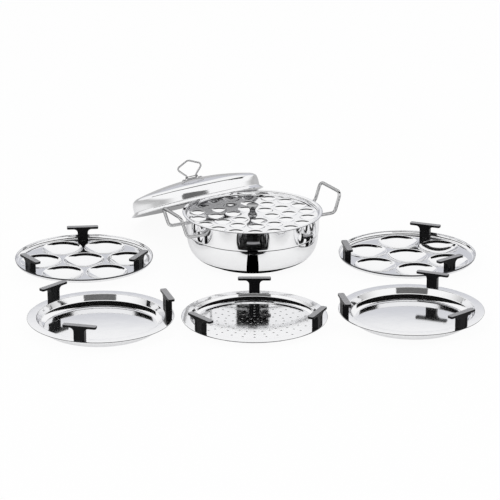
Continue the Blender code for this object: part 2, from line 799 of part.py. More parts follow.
def lug_mesh():
    """T-shaped lug: a stem that widens into a bar, with a blind bore underneath."""
    stem = LUG_STEM_WIDTH / 2
    bar = LUG_BAR_WIDTH / 2
    under = LUG_HEIGHT - LUG_BAR_THICKNESS
    half = [(stem, 0)]
    half += arc((stem + LUG_FILLET, under - LUG_FILLET), (LUG_FILLET,) * 2, 180, 90, BEND_STEPS)
    half += [
        (bar, under),
        (bar, LUG_HEIGHT - LUG_BAR_CHAMFER),
        (bar - LUG_BAR_CHAMFER, LUG_HEIGHT),
    ]
    outline = half + [(-x, z) for x, z in half[::-1]]
    bm = bmesh.new()
    front = [bm.verts.new((x, -LUG_DEPTH / 2, z)) for x, z in outline]
    back = [bm.verts.new((x, LUG_DEPTH / 2, z)) for x, z in outline]
    bm.faces.new(front)
    bm.faces.new(back)
    for index in range(len(outline) - 1):
        bm.faces.new((front[index], front[index + 1], back[index + 1], back[index]))
    mouth = screw_hole(bm, 0)
    end = screw_hole(bm, SCREW_LENGTH + BORE_END_ROOM)
    join_rings(bm, mouth, end)
    bm.faces.new(end)
    fill_between(bm, [front[0], back[0], back[-1], front[-1]], [mouth])
    pattern = solid("lug", bm)
    mesh = pattern.data
    bpy.data.objects.remove(pattern)
    return mesh


def make_mini_plate(steel):
    plate, web = mini_idli_plate()
    mini = frame("mini_idli_frame", Matrix.Translation((0, 0, web)))
    place(plate, steel, mini, (0, 0, -web))
    place(mini_knob(), steel, mini, (0, 0, FIT))
    place(screw("mini_idli_knob_screw", PLATE_SHEET), steel, mini)


def make_plate(name, plate, seat, lug_radius, centre, lug, finishes):
    """Stands a plate on the table with its lugs and their screws."""
    steel, black = finishes
    home = frame(name + "_frame", Matrix.Translation(centre))
    place(plate, steel, home)
    for number, azimuth in enumerate(LUG_AZIMUTHS[name], 1):
        spot = polar(lug_radius, azimuth)
        turn = math.radians(azimuth - 90)
        piece = bpy.data.objects.new("%s_lug_%d" % (name, number), lug)
        place(piece, black, home, spot + Vector((0, 0, seat + FIT)), turn)
        fastener = screw("%s_lug_screw_%d" % (name, number), PLATE_SHEET)
        place(fastener, steel, home, spot + Vector((0, 0, seat)))


def plate_centre(name):
    """Centre of a loose plate, from its neighbour's centre, the azimuth and the gap between the rims."""
    neighbour, azimuth, gap = PLATE_PLACES[name]
    if neighbour == "kadai":
        return polar(RIM_RADIUS + gap + PLATE_RADIUS, azimuth)
    return plate_centre(neighbour) + polar(PLATE_RADIUS + gap + PLATE_RADIUS, azimuth)


def lug_spots(name, radius):
    return [polar(radius, azimuth) for azimuth in LUG_AZIMUTHS[name]]


def make_loose_plates(finishes):
    lug = lug_mesh()
    for name, phase in IDLI_CUP_PHASES.items():
        plate, seat = idli_plate(name, phase, lug_spots(name, IDLI_LUG_RADIUS))
        make_plate(name, plate, seat, IDLI_LUG_RADIUS, plate_centre(name), lug, finishes)
    deep = tray_profile(DHOKLA_FLOOR_RADIUS, DHOKLA_FLANGE_INNER, DHOKLA_DEPTH, DHOKLA_FILLET)
    for name in ("dhokla_tray_left", "dhokla_tray_right"):
        plate, seat = tray(name, deep, lug_spots(name, TRAY_LUG_RADIUS), [])
        make_plate(name, plate, seat, TRAY_LUG_RADIUS, plate_centre(name), lug, finishes)
    name = "steamer_plate"
    shallow = tray_profile(STEAMER_FLOOR_RADIUS, STEAMER_FLANGE_INNER, STEAMER_DEPTH, STEAMER_FILLET)
    plate, seat = tray(name, shallow, lug_spots(name, TRAY_LUG_RADIUS), steam_hole_spots())
    make_plate(name, plate, seat, TRAY_LUG_RADIUS, plate_centre(name), lug, finishes)


def main():
    for obj in list(bpy.data.objects):
        bpy.data.objects.remove(obj)
    steel = finish("polished_steel", (0.80, 0.80, 0.81), 1.0, 0.10)
    aluminium = finish("aluminium", (0.66, 0.67, 0.68), 1.0, 0.40)
    black = finish("black_plastic", (0.012, 0.012, 0.013), 0.0, 0.25)
    make_pot(steel, aluminium)
    make_lid(steel)
    make_mini_plate(steel)
    make_loose_plates((steel, black))


main()
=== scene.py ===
# %% [markdown]
# # A multi kadai in mirror steel
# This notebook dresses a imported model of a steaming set: a two-handled pot, its leaning lid, the plate
# of small cups in its mouth, and five loose plates with black T-shaped lugs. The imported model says
# where every piece is and how large it is. Each step below remodels one piece finely, or mixes one
# finish, and says why it is done that way. All lengths are in metres.

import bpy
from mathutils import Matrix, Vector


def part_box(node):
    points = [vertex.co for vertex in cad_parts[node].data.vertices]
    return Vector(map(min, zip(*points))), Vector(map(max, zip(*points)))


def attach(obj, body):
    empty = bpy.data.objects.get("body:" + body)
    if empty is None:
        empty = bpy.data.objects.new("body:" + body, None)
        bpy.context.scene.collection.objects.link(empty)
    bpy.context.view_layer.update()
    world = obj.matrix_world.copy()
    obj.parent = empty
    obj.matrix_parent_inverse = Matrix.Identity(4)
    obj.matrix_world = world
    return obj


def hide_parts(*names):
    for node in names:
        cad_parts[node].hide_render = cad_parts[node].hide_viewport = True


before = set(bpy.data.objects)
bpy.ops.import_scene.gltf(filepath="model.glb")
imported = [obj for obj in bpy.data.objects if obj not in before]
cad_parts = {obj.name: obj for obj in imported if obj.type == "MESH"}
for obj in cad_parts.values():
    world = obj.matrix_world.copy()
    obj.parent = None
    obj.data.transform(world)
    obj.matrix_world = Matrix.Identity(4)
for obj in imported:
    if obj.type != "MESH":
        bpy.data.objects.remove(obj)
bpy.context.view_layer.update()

# %% Modules
import math

import bmesh
import bpy
import numpy as np
from mathutils import Matrix, Vector

print("Blender", bpy.app.version_string)

# %% [markdown]
# ## The camera
# The photograph was taken with a long lens from about four metres away, looking down at 19 degrees.
# A long lens keeps the round plates at the sides from stretching. The place and the lens were worked
# out from the ellipses of the seven round rims, so the camera sees the set as the photograph does.

# %% Camera
CAMERA_SPOT = (-0.0047, -4.1228, 1.4473)
CAMERA_TILT = math.radians(70.86)
CAMERA_LENS = 171.07

bpy.ops.object.select_all(action="DESELECT")
bpy.ops.object.camera_add(location=CAMERA_SPOT, rotation=(CAMERA_TILT, 0, 0))
camera = bpy.context.object
camera.data.lens = CAMERA_LENS
camera.data.sensor_width = 36.0
camera.data.clip_end = 60.0
bpy.context.scene.camera = camera
print("camera at", CAMERA_SPOT, "lens", CAMERA_LENS)

# %% [markdown]
# ## Small node helpers
# Every finish and every card below is a tree of shader nodes. Typed out one by one such trees get very
# long, so these helpers make the few kinds of node that come back again and again: a sum, a soft
# step, a distance, the separate coordinates of a place, and a mix of two colours.

# %% Node helpers
def maths(tree, operation, value, second=None):
    """A maths node on one value, with a fixed or a linked second value."""
    made = tree.nodes.new("ShaderNodeMath")
    made.operation = operation
    tree.links.new(value, made.inputs[0])
    if isinstance(second, float):
        made.inputs[1].default_value = second
    elif second is not None:
        tree.links.new(second, made.inputs[1])
    return made.outputs[0]


def fade(tree, value, start, end, low, high):
    """Goes softly from low to high while the value goes from start to end."""
    made = tree.nodes.new("ShaderNodeMapRange")
    made.interpolation_type = "SMOOTHSTEP"
    tree.links.new(value, made.inputs["Value"])
    for socket, setting in (("From Min", start), ("From Max", end), ("To Min", low), ("To Max", high)):
        made.inputs[socket].default_value = setting
    return made.outputs[0]


def away_from(tree, spot, middle):
    """The distance of a place from a middle."""
    made = tree.nodes.new("ShaderNodeVectorMath")
    made.operation = "DISTANCE"
    made.inputs[1].default_value = middle
    tree.links.new(spot, made.inputs[0])
    return made.outputs["Value"]


def parts_of(tree, vector):
    """The X, Y and Z of a vector."""
    made = tree.nodes.new("ShaderNodeSeparateXYZ")
    tree.links.new(vector, made.inputs[0])
    return made.outputs["X"], made.outputs["Y"], made.outputs["Z"]


def from_axis(tree, vector):
    """The distance of a place from the Z axis."""
    across, along, _ = parts_of(tree, vector)
    flat = tree.nodes.new("ShaderNodeCombineXYZ")
    tree.links.new(across, flat.inputs["X"])
    tree.links.new(along, flat.inputs["Y"])
    return away_from(tree, flat.outputs[0], (0, 0, 0))


def mixed(tree, share, first, second):
    """A colour between two colours, by the share. Either may be fixed or linked."""
    made = tree.nodes.new("ShaderNodeMix")
    made.data_type = "RGBA"
    tree.links.new(share, made.inputs[0])
    for socket, colour in ((made.inputs[6], first), (made.inputs[7], second)):
        if isinstance(colour, tuple):
            socket.default_value = (*colour, 1)
        else:
            tree.links.new(colour, socket)
    return made.outputs[2]


print("node helpers: maths, fade, away_from, parts_of, from_axis and mixed")

# %% [markdown]
# ### Small mesh helpers
# Much of the modelling is the same few moves: lay down a plane, pull its edges or its faces out, and
# pick what comes next. In code nothing can be clicked, so edges and faces are picked by their place.

# %% Mesh helpers
def plane(name, size, middle=(0, 0, 0), lean=0.0):
    """A plane of this size about a middle. Its own axes lean with it."""
    bpy.ops.object.select_all(action="DESELECT")
    bpy.ops.mesh.primitive_plane_add(size=1, location=middle, rotation=(lean, 0, 0))
    piece = bpy.context.object
    piece.name = name
    piece.scale = (*size, 1)
    bpy.ops.object.transform_apply(location=False, rotation=False)
    return piece


def pull_edges(*move):
    """Extrudes the selected edges."""
    bpy.ops.mesh.extrude_edges_move(TRANSFORM_OT_translate={"value": move})


def pull_faces(*move):
    """Extrudes the selected region."""
    bpy.ops.mesh.extrude_region_move(TRANSFORM_OT_translate={"value": move})


def pick(mode, test, open_only=False):
    """Selects the vertices, edges or faces of which every corner passes the test."""
    bpy.ops.mesh.select_mode(type=mode)
    bpy.ops.mesh.select_all(action="DESELECT")
    mesh = bmesh.from_edit_mesh(bpy.context.object.data)
    items = {"VERT": mesh.verts, "EDGE": mesh.edges, "FACE": mesh.faces}[mode]
    for item in items:
        corners = [item] if mode == "VERT" else item.verts
        if open_only and not (item.is_boundary or item.is_wire):
            continue
        if all(test(corner.co) for corner in corners):
            item.select_set(True)
    bmesh.update_edit_mesh(bpy.context.object.data)


def paint(piece, material):
    """Gives a piece this material and no other."""
    piece.data.materials.clear()
    piece.data.materials.append(material)


print("mesh helpers: plane, pull_edges, pull_faces, pick and paint")

# %% [markdown]
# ## The studio
# Polished steel has almost no colour of its own: it shows the room. So the studio matters as much as
# the metal. It is a white light tent, with a few cards that only reflections see. The tent's black
# hoop draws the thin black arcs in the cups and the line round the lid. A dark card stands for the
# lens, and a grey sweep at the back gives the flat webs their cool tone.
#
# The world is white to the eye. Reflections see it turn grey towards the horizon, as a tent does where
# its walls meet the table.

# %% World
FILL_LEVEL = 0.85
HORIZON_GREY = 0.50
HORIZON_TOP = 0.22

bpy.context.scene.view_settings.view_transform = "Standard"
world = bpy.data.worlds.new("white_room")
bpy.context.scene.world = world
world.use_nodes = True
room = world.node_tree
room.nodes.clear()
room_out = room.nodes.new("ShaderNodeOutputWorld")
room_mix = room.nodes.new("ShaderNodeMixShader")
room_fill = room.nodes.new("ShaderNodeBackground")
room_fill.inputs["Color"].default_value = (1, 1, 1, 1)
room_fill.inputs["Strength"].default_value = FILL_LEVEL
room_seen = room.nodes.new("ShaderNodeBackground")
path = room.nodes.new("ShaderNodeLightPath")
heading = room.nodes.new("ShaderNodeTexCoord").outputs["Generated"]
to_eye = maths(room, "MAXIMUM", path.outputs["Is Camera Ray"], path.outputs["Is Transmission Ray"])
tone = fade(room, parts_of(room, heading)[2], 0.0, HORIZON_TOP, HORIZON_GREY, 1.0)
room.links.new(maths(room, "MAXIMUM", tone, to_eye), room_seen.inputs["Color"])
room.links.new(maths(room, "MAXIMUM", to_eye, path.outputs["Is Glossy Ray"]), room_mix.inputs[0])
room.links.new(room_fill.outputs[0], room_mix.inputs[1])
room.links.new(room_seen.outputs[0], room_mix.inputs[2])
room.links.new(room_mix.outputs[0], room_out.inputs["Surface"])
print("white room, fill level", FILL_LEVEL)

# %% [markdown]
# ### The floor
# The floor is one plain white sheet. It glows a little to the eye, which keeps it white, and the rest
# of it is matt and keeps the soft shadows. Upright steel mirrors the floor, so reflections see three
# more tones painted on it: a painted fall-off of light, grey far out, which shapes the sides of the pot
# and the lid; a painted shadow, a dark disc at the foot of the pot; and a painted reflection, a dark
# wedge in front of it that stands for the mirrored stem of the nearest lug.

# %% Floor
FLOOR_SIZE = 40.0
FLOOR_WHITE = (0.82, 0.82, 0.82, 1)
FLOOR_GLOW_TO_EYE = 0.94
FLOOR_GLOW_TO_MIRROR = 0.60
FLOOR_FADE_MIDDLE = (0, -0.25, 0)
FLOOR_FADE = (0.48, 0.85)
FLOOR_FAR_GREY = 0.35
BASE_SHADE_RADIUS = 0.1010
STEM_SHADE_SPREAD = 0.115
STEM_SHADE_REACH = 0.42

floor = plane("floor", (FLOOR_SIZE, FLOOR_SIZE))
material = bpy.data.materials.new("floor_white")
material.use_nodes = True
paint(floor, material)
tree = material.node_tree
tree.nodes.clear()
out = tree.nodes.new("ShaderNodeOutputMaterial")
mix = tree.nodes.new("ShaderNodeMixShader")
matt = tree.nodes.new("ShaderNodeBsdfDiffuse")
glow = tree.nodes.new("ShaderNodeEmission")
matt.inputs["Color"].default_value = FLOOR_WHITE
path = tree.nodes.new("ShaderNodeLightPath")
print("floor", FLOOR_SIZE, "m across")

# %% What reflections see on the floor
spot = tree.nodes.new("ShaderNodeTexCoord").outputs["Object"]
across, along, _ = parts_of(tree, spot)
# Painted reflection: a dark wedge in front of the pot, seen only by mirrors, stands for the mirrored lug
# stem.
in_front = maths(tree, "MULTIPLY", along, -1.0)
half_width = maths(tree, "MULTIPLY", in_front, STEM_SHADE_SPREAD)
in_line = maths(tree, "LESS_THAN", maths(tree, "ABSOLUTE", across), half_width)
in_reach = maths(tree, "LESS_THAN", in_front, STEM_SHADE_REACH)
# Painted shadow: a dark disc under the pot, seen only by mirrors.
under_base = maths(tree, "LESS_THAN", away_from(tree, spot, (0, 0, 0)), BASE_SHADE_RADIUS)
shade = maths(tree, "MAXIMUM", maths(tree, "MULTIPLY", in_line, in_reach), under_base)
unshaded = maths(tree, "LESS_THAN", shade, 0.5)
# Painted fall-off of light: to mirrors the floor turns grey far out.
tone = fade(tree, away_from(tree, spot, FLOOR_FADE_MIDDLE), *FLOOR_FADE, 1.0, FLOOR_FAR_GREY)
tone = maths(tree, "MULTIPLY", tone, unshaded)
tone = maths(tree, "MAXIMUM", tone, path.outputs["Is Camera Ray"])
tree.links.new(tone, glow.inputs["Color"])
to_eye = maths(tree, "MULTIPLY", path.outputs["Is Camera Ray"], FLOOR_GLOW_TO_EYE)
to_mirror = maths(tree, "MAXIMUM", shade, FLOOR_GLOW_TO_MIRROR)
to_mirror = maths(tree, "MULTIPLY", to_mirror, path.outputs["Is Glossy Ray"])
tree.links.new(maths(tree, "ADD", to_eye, to_mirror), mix.inputs[0])
tree.links.new(matt.outputs[0], mix.inputs[1])
tree.links.new(glow.outputs[0], mix.inputs[2])
tree.links.new(mix.outputs[0], out.inputs["Surface"])
print("floor nodes:", len(tree.nodes))

# %% [markdown]
# ### Cards
# A card is a plane that only glossy rays see: the camera, the lamps and the shadows pass it by. The
# lens card is black to a ray that has met two mirrors, such as a plate's flank and its floor. To the
# first mirror it is dark grey, so that level steel doesn't turn black when it is seen from behind.

# %% Cards that only reflections see
def hide_from_lights(piece):
    """Leaves a piece of the studio to glossy rays."""
    piece.visible_camera = False
    piece.visible_diffuse = False
    piece.visible_shadow = False
    piece.visible_transmission = False


def glow_material(name):
    """A material that only glows; returns it with its tree and its emission node."""
    material = bpy.data.materials.new(name)
    material.use_nodes = True
    tree = material.node_tree
    tree.nodes.clear()
    out = tree.nodes.new("ShaderNodeOutputMaterial")
    glow = tree.nodes.new("ShaderNodeEmission")
    tree.links.new(glow.outputs[0], out.inputs["Surface"])
    return material, tree, glow


def card(name, spot, foot, top, width):
    """An upright card across the view, that many metres back. Returns its tree and emission node."""
    piece = plane(name, (width, top - foot), (0, spot, (foot + top) / 2), math.pi / 2)
    material, tree, glow = glow_material(name)
    paint(piece, material)
    hide_from_lights(piece)
    print(name, "card", round(width, 2), "by", round(top - foot, 2), "m")
    return tree, glow


LENS_SPOT = -2.9
LENS_FOOT = 0.66
LENS_TOP = 1.68
LENS_WIDTH = 3.0
LENS_GREY = 0.14
ONE_MIRROR = 1.5

tree, glow = card("lens_card", LENS_SPOT, LENS_FOOT, LENS_TOP, LENS_WIDTH)
depth = tree.nodes.new("ShaderNodeLightPath").outputs["Ray Depth"]
first_mirror = maths(tree, "LESS_THAN", depth, ONE_MIRROR)
tree.links.new(maths(tree, "MULTIPLY", first_mirror, LENS_GREY), glow.inputs["Color"])

# %% [markdown]
# ### The hoop
# A tent hangs from a black hoop, high at the back. A bent lip of steel that leans at 32 to 49 degrees
# mirrors it as a thin black arc. The hoop is two ovals with a band between them, far away. It fades
# out low down, so that level steel stays white when it is seen from the sides.

# %% The tent's black hoop
HOOP_DISTANCE = 12.0
HOOP_ELEVATION = math.radians(53.1)
HOOP_INNER = (0.89, 0.83, -0.25)
HOOP_OUTER = (1.50, 1.80, 0.20)
HOOP_CORNERS = 96
HOOP_CUT = (0.42, 0.46)
HOOP_BLACK = 0.004


def oval(half_width, half_height, centre):
    """Corners of an oval, as shares of the hoop's distance."""
    points = []
    for step in range(HOOP_CORNERS):
        angle = math.tau * step / HOOP_CORNERS
        points.append(Vector((half_width * math.cos(angle), centre + half_height * math.sin(angle), 0)))
    return points


bpy.ops.object.select_all(action="DESELECT")
bpy.ops.mesh.primitive_circle_add(vertices=HOOP_CORNERS, radius=1)
hoop = bpy.context.object
hoop.name = "tent_hoop"
bpy.ops.object.mode_set(mode="EDIT")
bpy.ops.mesh.select_all(action="SELECT")
for outline in (HOOP_INNER, HOOP_OUTER):
    ring = [v for v in bmesh.from_edit_mesh(hoop.data).verts if v.select]
    for vertex, point in zip(ring, oval(*outline)):
        vertex.co = point * HOOP_DISTANCE
    if outline is HOOP_INNER:
        pull_edges(0, 0, 0)
bpy.ops.object.mode_set(mode="OBJECT")
hoop.location = Vector((0, math.cos(HOOP_ELEVATION), math.sin(HOOP_ELEVATION))) * HOOP_DISTANCE
hoop.rotation_euler = (HOOP_ELEVATION + math.radians(90), 0, 0)
material, tree, glow = glow_material("tent_hoop")
place_in_room = tree.nodes.new("ShaderNodeNewGeometry").outputs["Position"]
steepness = maths(tree, "DIVIDE", parts_of(tree, place_in_room)[2], from_axis(tree, place_in_room))
tree.links.new(fade(tree, steepness, *HOOP_CUT, 1.0, HOOP_BLACK), glow.inputs["Color"])
paint(hoop, material)
hide_from_lights(hoop)
print("hoop", len(hoop.data.polygons), "faces")

# %% The grey sweep at the back
SWEEP_SPOT = 3.2
SWEEP_TALL = 1.5
SWEEP_WIDTH = 2.6
SWEEP_GREY = (0.66, 0.67, 0.71)
SWEEP_WHITE = (1, 1, 1)
WINDOW_SIDES = (0.14, 0.34)
WINDOW_FOOT = (0.02, 0.16)
SWEEP_TOP = (0.50, 0.68)

tree, glow = card("grey_sweep", SWEEP_SPOT, 0.0, SWEEP_TALL, SWEEP_WIDTH)
spot = tree.nodes.new("ShaderNodeTexCoord").outputs["Object"]
across, up, _ = parts_of(tree, spot)
near_middle = fade(tree, maths(tree, "ABSOLUTE", across), *WINDOW_SIDES, 1.0, 0.0)
window = maths(tree, "MULTIPLY", near_middle, fade(tree, up, *WINDOW_FOOT, 0.0, 1.0))
white_share = maths(tree, "MAXIMUM", window, fade(tree, up, *SWEEP_TOP, 0.0, 1.0))
tree.links.new(mixed(tree, white_share, SWEEP_GREY, SWEEP_WHITE), glow.inputs["Color"])
print("sweep fades to white in a window and above")

# %% Lamps
LAMPS = {
    "key_lamp": ((-1.6, -1.4, 2.4), 1.6, 16.0),
    "fill_lamp": ((1.8, -1.0, 2.2), 1.6, 10.0),
    "back_lamp": ((0.3, 2.2, 2.4), 1.8, 8.0),
}

for lamp_name, (spot, size, power) in LAMPS.items():
    bpy.ops.object.light_add(type="AREA", location=spot)
    lamp = bpy.context.object
    lamp.name = lamp_name
    lamp.data.size = size
    lamp.data.energy = power
    lamp.rotation_euler = (-Vector(spot)).to_track_quat("-Z", "Y").to_euler()
    lamp.visible_glossy = False
print(len(LAMPS), "soft lamps")

# %% [markdown]
# ## Tools for turned pieces
# Most of the set is spun or pressed from round blanks. In Blender such a wall can be grown by hand
# from one circle: extrude the ring, lift it, resize it, and repeat. The helpers below do just that,
# along a profile of (radius, height) points. Round stretches of a profile come from arcs.

# %% Open a piece with one ring, and grow it
ROUND = 128
SNAP = 0.00002
RING_GAP = 0.0005


def open_ring(name, radius, height, corners=ROUND, centre=(0.0, 0.0)):
    """Starts a piece as one ring of vertices, in edit mode, with its object at the origin."""
    bpy.ops.object.select_all(action="DESELECT")
    bpy.ops.mesh.primitive_circle_add(vertices=corners, radius=radius, location=(*centre, height))
    bpy.ops.object.transform_apply()
    piece = bpy.context.object
    piece.name = name
    piece.data.name = name
    bpy.ops.object.mode_set(mode="EDIT")
    return piece


def grow(profile, centre=(0.0, 0.0)):
    """Grows the selected ring along a profile. A last radius of zero closes it in a pole."""
    for start, end in zip(profile, profile[1:]):
        pull_edges(0, 0, end[1] - start[1])
        if end[0] > 0:
            share = end[0] / start[0]
            bpy.ops.transform.resize(value=(share, share, 1), center_override=(*centre, end[1]))
        else:
            bpy.ops.mesh.merge(type="CENTER")


def arc(centre, radii, start, end, steps):
    """Points of an elliptical arc in the (radius, height) plane; angles in degrees."""
    angles = [math.radians(start + (end - start) * step / steps) for step in range(steps + 1)]
    return [(centre[0] + radii[0] * math.cos(a), centre[1] + radii[1] * math.sin(a)) for a in angles]


def bend(route, radius, start, end, across, up, steps=6):
    """Adds an arc to a profile. Its slope goes from start to end degrees; across and up are signs."""
    first = route[-1]
    for step in range(1, steps + 1):
        slope = math.radians(start + (end - start) * step / steps)
        run_across = abs(math.sin(slope) - math.sin(math.radians(start)))
        run_up = abs(math.cos(math.radians(start)) - math.cos(slope))
        route.append((first[0] + across * radius * run_across, first[1] + up * radius * run_up))


def straight(route, length, slope, across, up):
    """Adds a straight stretch to a profile."""
    angle = math.radians(slope)
    last = route[-1]
    route.append((last[0] + across * length * math.cos(angle), last[1] + up * length * math.sin(angle)))


print("turning tools, with", ROUND, "corners to a round")

# %% [markdown]
# ### Closing and finishing
# A closed piece has its doubles merged and its faces turned outwards. A sheet is turned upwards
# instead, so that Solidify adds its thickness under the modelled side.

# %% Close a piece
WELD = 0.000005


def close_up():
    """Merges doubles, turns all faces the same way and leaves edit mode."""
    bpy.ops.mesh.select_all(action="SELECT")
    bpy.ops.mesh.remove_doubles(threshold=WELD)
    bpy.ops.mesh.normals_make_consistent(inside=False)
    bpy.ops.object.mode_set(mode="OBJECT")


def face_up():
    """Turns a sheet so that its modelled side is its upper side, and leaves edit mode."""
    bpy.ops.mesh.select_all(action="SELECT")
    bpy.ops.mesh.remove_doubles(threshold=WELD)
    bpy.ops.mesh.normals_make_consistent(inside=False)
    mesh = bmesh.from_edit_mesh(bpy.context.object.data)
    mesh.normal_update()
    if sum(face.normal.z * face.calc_area() for face in mesh.faces) < 0:
        bpy.ops.mesh.flip_normals()
    bpy.ops.object.mode_set(mode="OBJECT")


print("doubles closer than", WELD * 1000, "mm are merged")

# %% Finish a piece
def apply_modifier(piece, kind, **settings):
    """Adds a modifier with these settings, and applies it."""
    bpy.ops.object.select_all(action="DESELECT")
    piece.select_set(True)
    bpy.context.view_layer.objects.active = piece
    modifier = piece.modifiers.new(kind.lower(), kind)
    for name, value in settings.items():
        setattr(modifier, name, value)
    bpy.ops.object.modifier_apply(modifier=modifier.name)


def thicken(piece, sheet):
    """Gives a sheet its thickness under the modelled face."""
    evenly = {"use_even_offset": True, "use_quality_normals": True}
    apply_modifier(piece, "SOLIDIFY", thickness=sheet, offset=-1, **evenly)


def smooth(piece, angle=32.0):
    """Smooth shading with crisp creases; the large level faces keep their own normal."""
    bpy.ops.object.select_all(action="DESELECT")
    piece.select_set(True)
    bpy.context.view_layer.objects.active = piece
    bpy.ops.object.shade_smooth_by_angle(angle=math.radians(angle))
    apply_modifier(piece, "WEIGHTED_NORMAL", weight=100, keep_sharp=True)


def turned_sheet(name, outline, sheet):
    """A sheet grown from a small ring outwards, then closed in its middle and given its thickness."""
    piece = open_ring(name, *outline[0])
    grow(outline)
    radius, height = outline[0]
    pick("EDGE", lambda co: math.hypot(co.x, co.y) < radius + RING_GAP, open_only=True)
    grow([(radius, height), (0, height)])
    face_up()
    thicken(piece, sheet)
    smooth(piece)
    return piece


def turned_solid(name, outline, corners, crease):
    """A solid grown from a small closed ring to a pole."""
    piece = open_ring(name, *outline[0], corners=corners)
    bpy.ops.mesh.edge_face_add()
    grow(outline)
    close_up()
    smooth(piece, crease)
    return piece


def dress(piece, material, body, slot, *nodes):
    """Gives a piece its finish and its body, and hides the CAD nodes that it stands for. The slot is not
    used.
    """
    paint(piece, material)
    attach(piece, body)
    if nodes:
        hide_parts(*nodes)
    print(piece.name, len(piece.data.polygons), "faces, rides on", body)


print("tools for sheets and solids")

# %% [markdown]
# ## Finishes
# Three effects are shared, so each is a node group. "Hand polish" gives the cloudy, slightly uneven
# shine that a buffing wheel leaves: broad soft waves and fine haze. "Spun lines" gives the rings that
# a lathe leaves, which run round a piece's own axis, so the coordinates are centred on it first.
# The third paints a dark line along the outer edge of a round sheet: painted shade, for the dark outline
# round a rim.

# %% Node helpers and the hand polish group
def group_with(name, inputs, outputs):
    """An empty shader group with float or vector inputs and float outputs."""
    tree = bpy.data.node_groups.new(name, "ShaderNodeTree")
    for socket, kind, value in inputs:
        made = tree.interface.new_socket(socket, in_out="INPUT", socket_type=kind)
        if value is not None:
            made.default_value = value
    for socket in outputs:
        tree.interface.new_socket(socket, in_out="OUTPUT", socket_type="NodeSocketFloat")
    return tree, tree.nodes.new("NodeGroupInput"), tree.nodes.new("NodeGroupOutput")


def noise(tree, vector, scale, detail):
    """Soft noise of a linked scale."""
    made = tree.nodes.new("ShaderNodeTexNoise")
    made.inputs["Detail"].default_value = detail
    tree.links.new(vector, made.inputs["Vector"])
    tree.links.new(scale, made.inputs["Scale"])
    return made.outputs[0]


def blend_values(tree, share, low, high):
    """A value between two linked values, by the share."""
    made = tree.nodes.new("ShaderNodeMapRange")
    tree.links.new(share, made.inputs["Value"])
    tree.links.new(low, made.inputs["To Min"])
    tree.links.new(high, made.inputs["To Max"])
    return made.outputs[0]


FLOAT = "NodeSocketFloat"
VECTOR = "NodeSocketVector"

polish, polish_in, polish_out = group_with(
    "hand_polish",
    [
        ("Vector", VECTOR, None), ("Waves", FLOAT, 28.0), ("Haze", FLOAT, 420.0),
        ("Low", FLOAT, 0.05), ("High", FLOAT, 0.12),
    ],
    ["Roughness", "Height", "Cloud"],
)
waves = noise(polish, polish_in.outputs["Vector"], polish_in.outputs["Waves"], 2.0)
haze = noise(polish, polish_in.outputs["Vector"], polish_in.outputs["Haze"], 4.0)
uneven = blend_values(polish, haze, polish_in.outputs["Low"], polish_in.outputs["High"])
polish.links.new(uneven, polish_out.inputs["Roughness"])
polish.links.new(waves, polish_out.inputs["Height"])
polish.links.new(maths(polish, "MULTIPLY", waves, haze), polish_out.inputs["Cloud"])
print("group", polish.name, "with", len(polish.nodes), "nodes")

# %% The spun lines group
spun, spun_in, spun_out = group_with(
    "spun_lines", [("Vector", VECTOR, None), ("Lines", FLOAT, 900.0)], ["Line"],
)
turned_at = spun.nodes.new("ShaderNodeCombineXYZ")
spun.links.new(from_axis(spun, spun_in.outputs["Vector"]), turned_at.inputs["X"])
spun.links.new(parts_of(spun, spun_in.outputs["Vector"])[2], turned_at.inputs["Y"])
line = noise(spun, turned_at.outputs[0], spun_in.outputs["Lines"], 3.0)
spun.links.new(line, spun_out.inputs["Line"])
print("group", spun.name, "with", len(spun.nodes), "nodes")

# %% The edge shade group: a painted dark edge
edge_shade, edge_shade_in, edge_shade_out = group_with(
    "cut_edge",
    [("Vector", VECTOR, None), ("Radius", FLOAT, 0.125), ("Softness", FLOAT, 0.0003)],
    ["Edge"],
)
reach = from_axis(edge_shade, edge_shade_in.outputs["Vector"])
past = maths(edge_shade, "SUBTRACT", reach, edge_shade_in.outputs["Radius"])
share = maths(edge_shade, "DIVIDE", past, edge_shade_in.outputs["Softness"])
limited = edge_shade.nodes.new("ShaderNodeClamp")
edge_shade.links.new(share, limited.inputs["Value"])
edge_shade.links.new(limited.outputs[0], edge_shade_out.inputs["Edge"])
print("group", edge_shade.name, "with", len(edge_shade.nodes), "nodes")

# %% [markdown]
# ### Steel
# Stainless steel is a metal with a pale, faintly cool grey colour. The base colour carries a light
# cloud, the roughness is uneven by a few hundredths, and two bumps bend the reflections a little:
# the waves of the pressed sheet and the fine lines of the spinning. Every piece gets its own copy,
# with the lines centred on its own axis. A piece may add a painted dark edge at its rim and one mask
# of painted shade of its own, such as the painted shade in the pot's crease. The core of the base and
# the screws are hardly seen, so they get the same metal with more haze.

# %% Colours and depths of steel
STEEL_LIGHT = (0.95, 0.95, 0.955)
STEEL_DARK = (0.88, 0.885, 0.90)
# The dark colour of every mark of painted shade on steel.
PAINTED_DARK = (0.05, 0.05, 0.055)
EDGE_TINT = (0.88, 0.88, 0.89)
WAVE_DEPTH = 0.00006
LINE_DEPTH = 0.0000012
HOME = Matrix.Identity(4)


def centred(tree, place):
    """Object coordinates, moved and turned so that the piece's own axis is Z."""
    coordinates = tree.nodes.new("ShaderNodeTexCoord")
    mapping = tree.nodes.new("ShaderNodeMapping")
    inverse = place.inverted()
    mapping.inputs["Location"].default_value = inverse.translation
    mapping.inputs["Rotation"].default_value = inverse.to_euler()
    tree.links.new(coordinates.outputs["Object"], mapping.inputs["Vector"])
    return mapping.outputs["Vector"]


def effect(tree, group, spot, **values):
    """Places a shared effect in a material, with the material's own values."""
    made = tree.nodes.new("ShaderNodeGroup")
    made.node_tree = group
    tree.links.new(spot, made.inputs["Vector"])
    for socket, value in values.items():
        made.inputs[socket].default_value = value
    return made


print("steel between", STEEL_LIGHT, "and", STEEL_DARK)

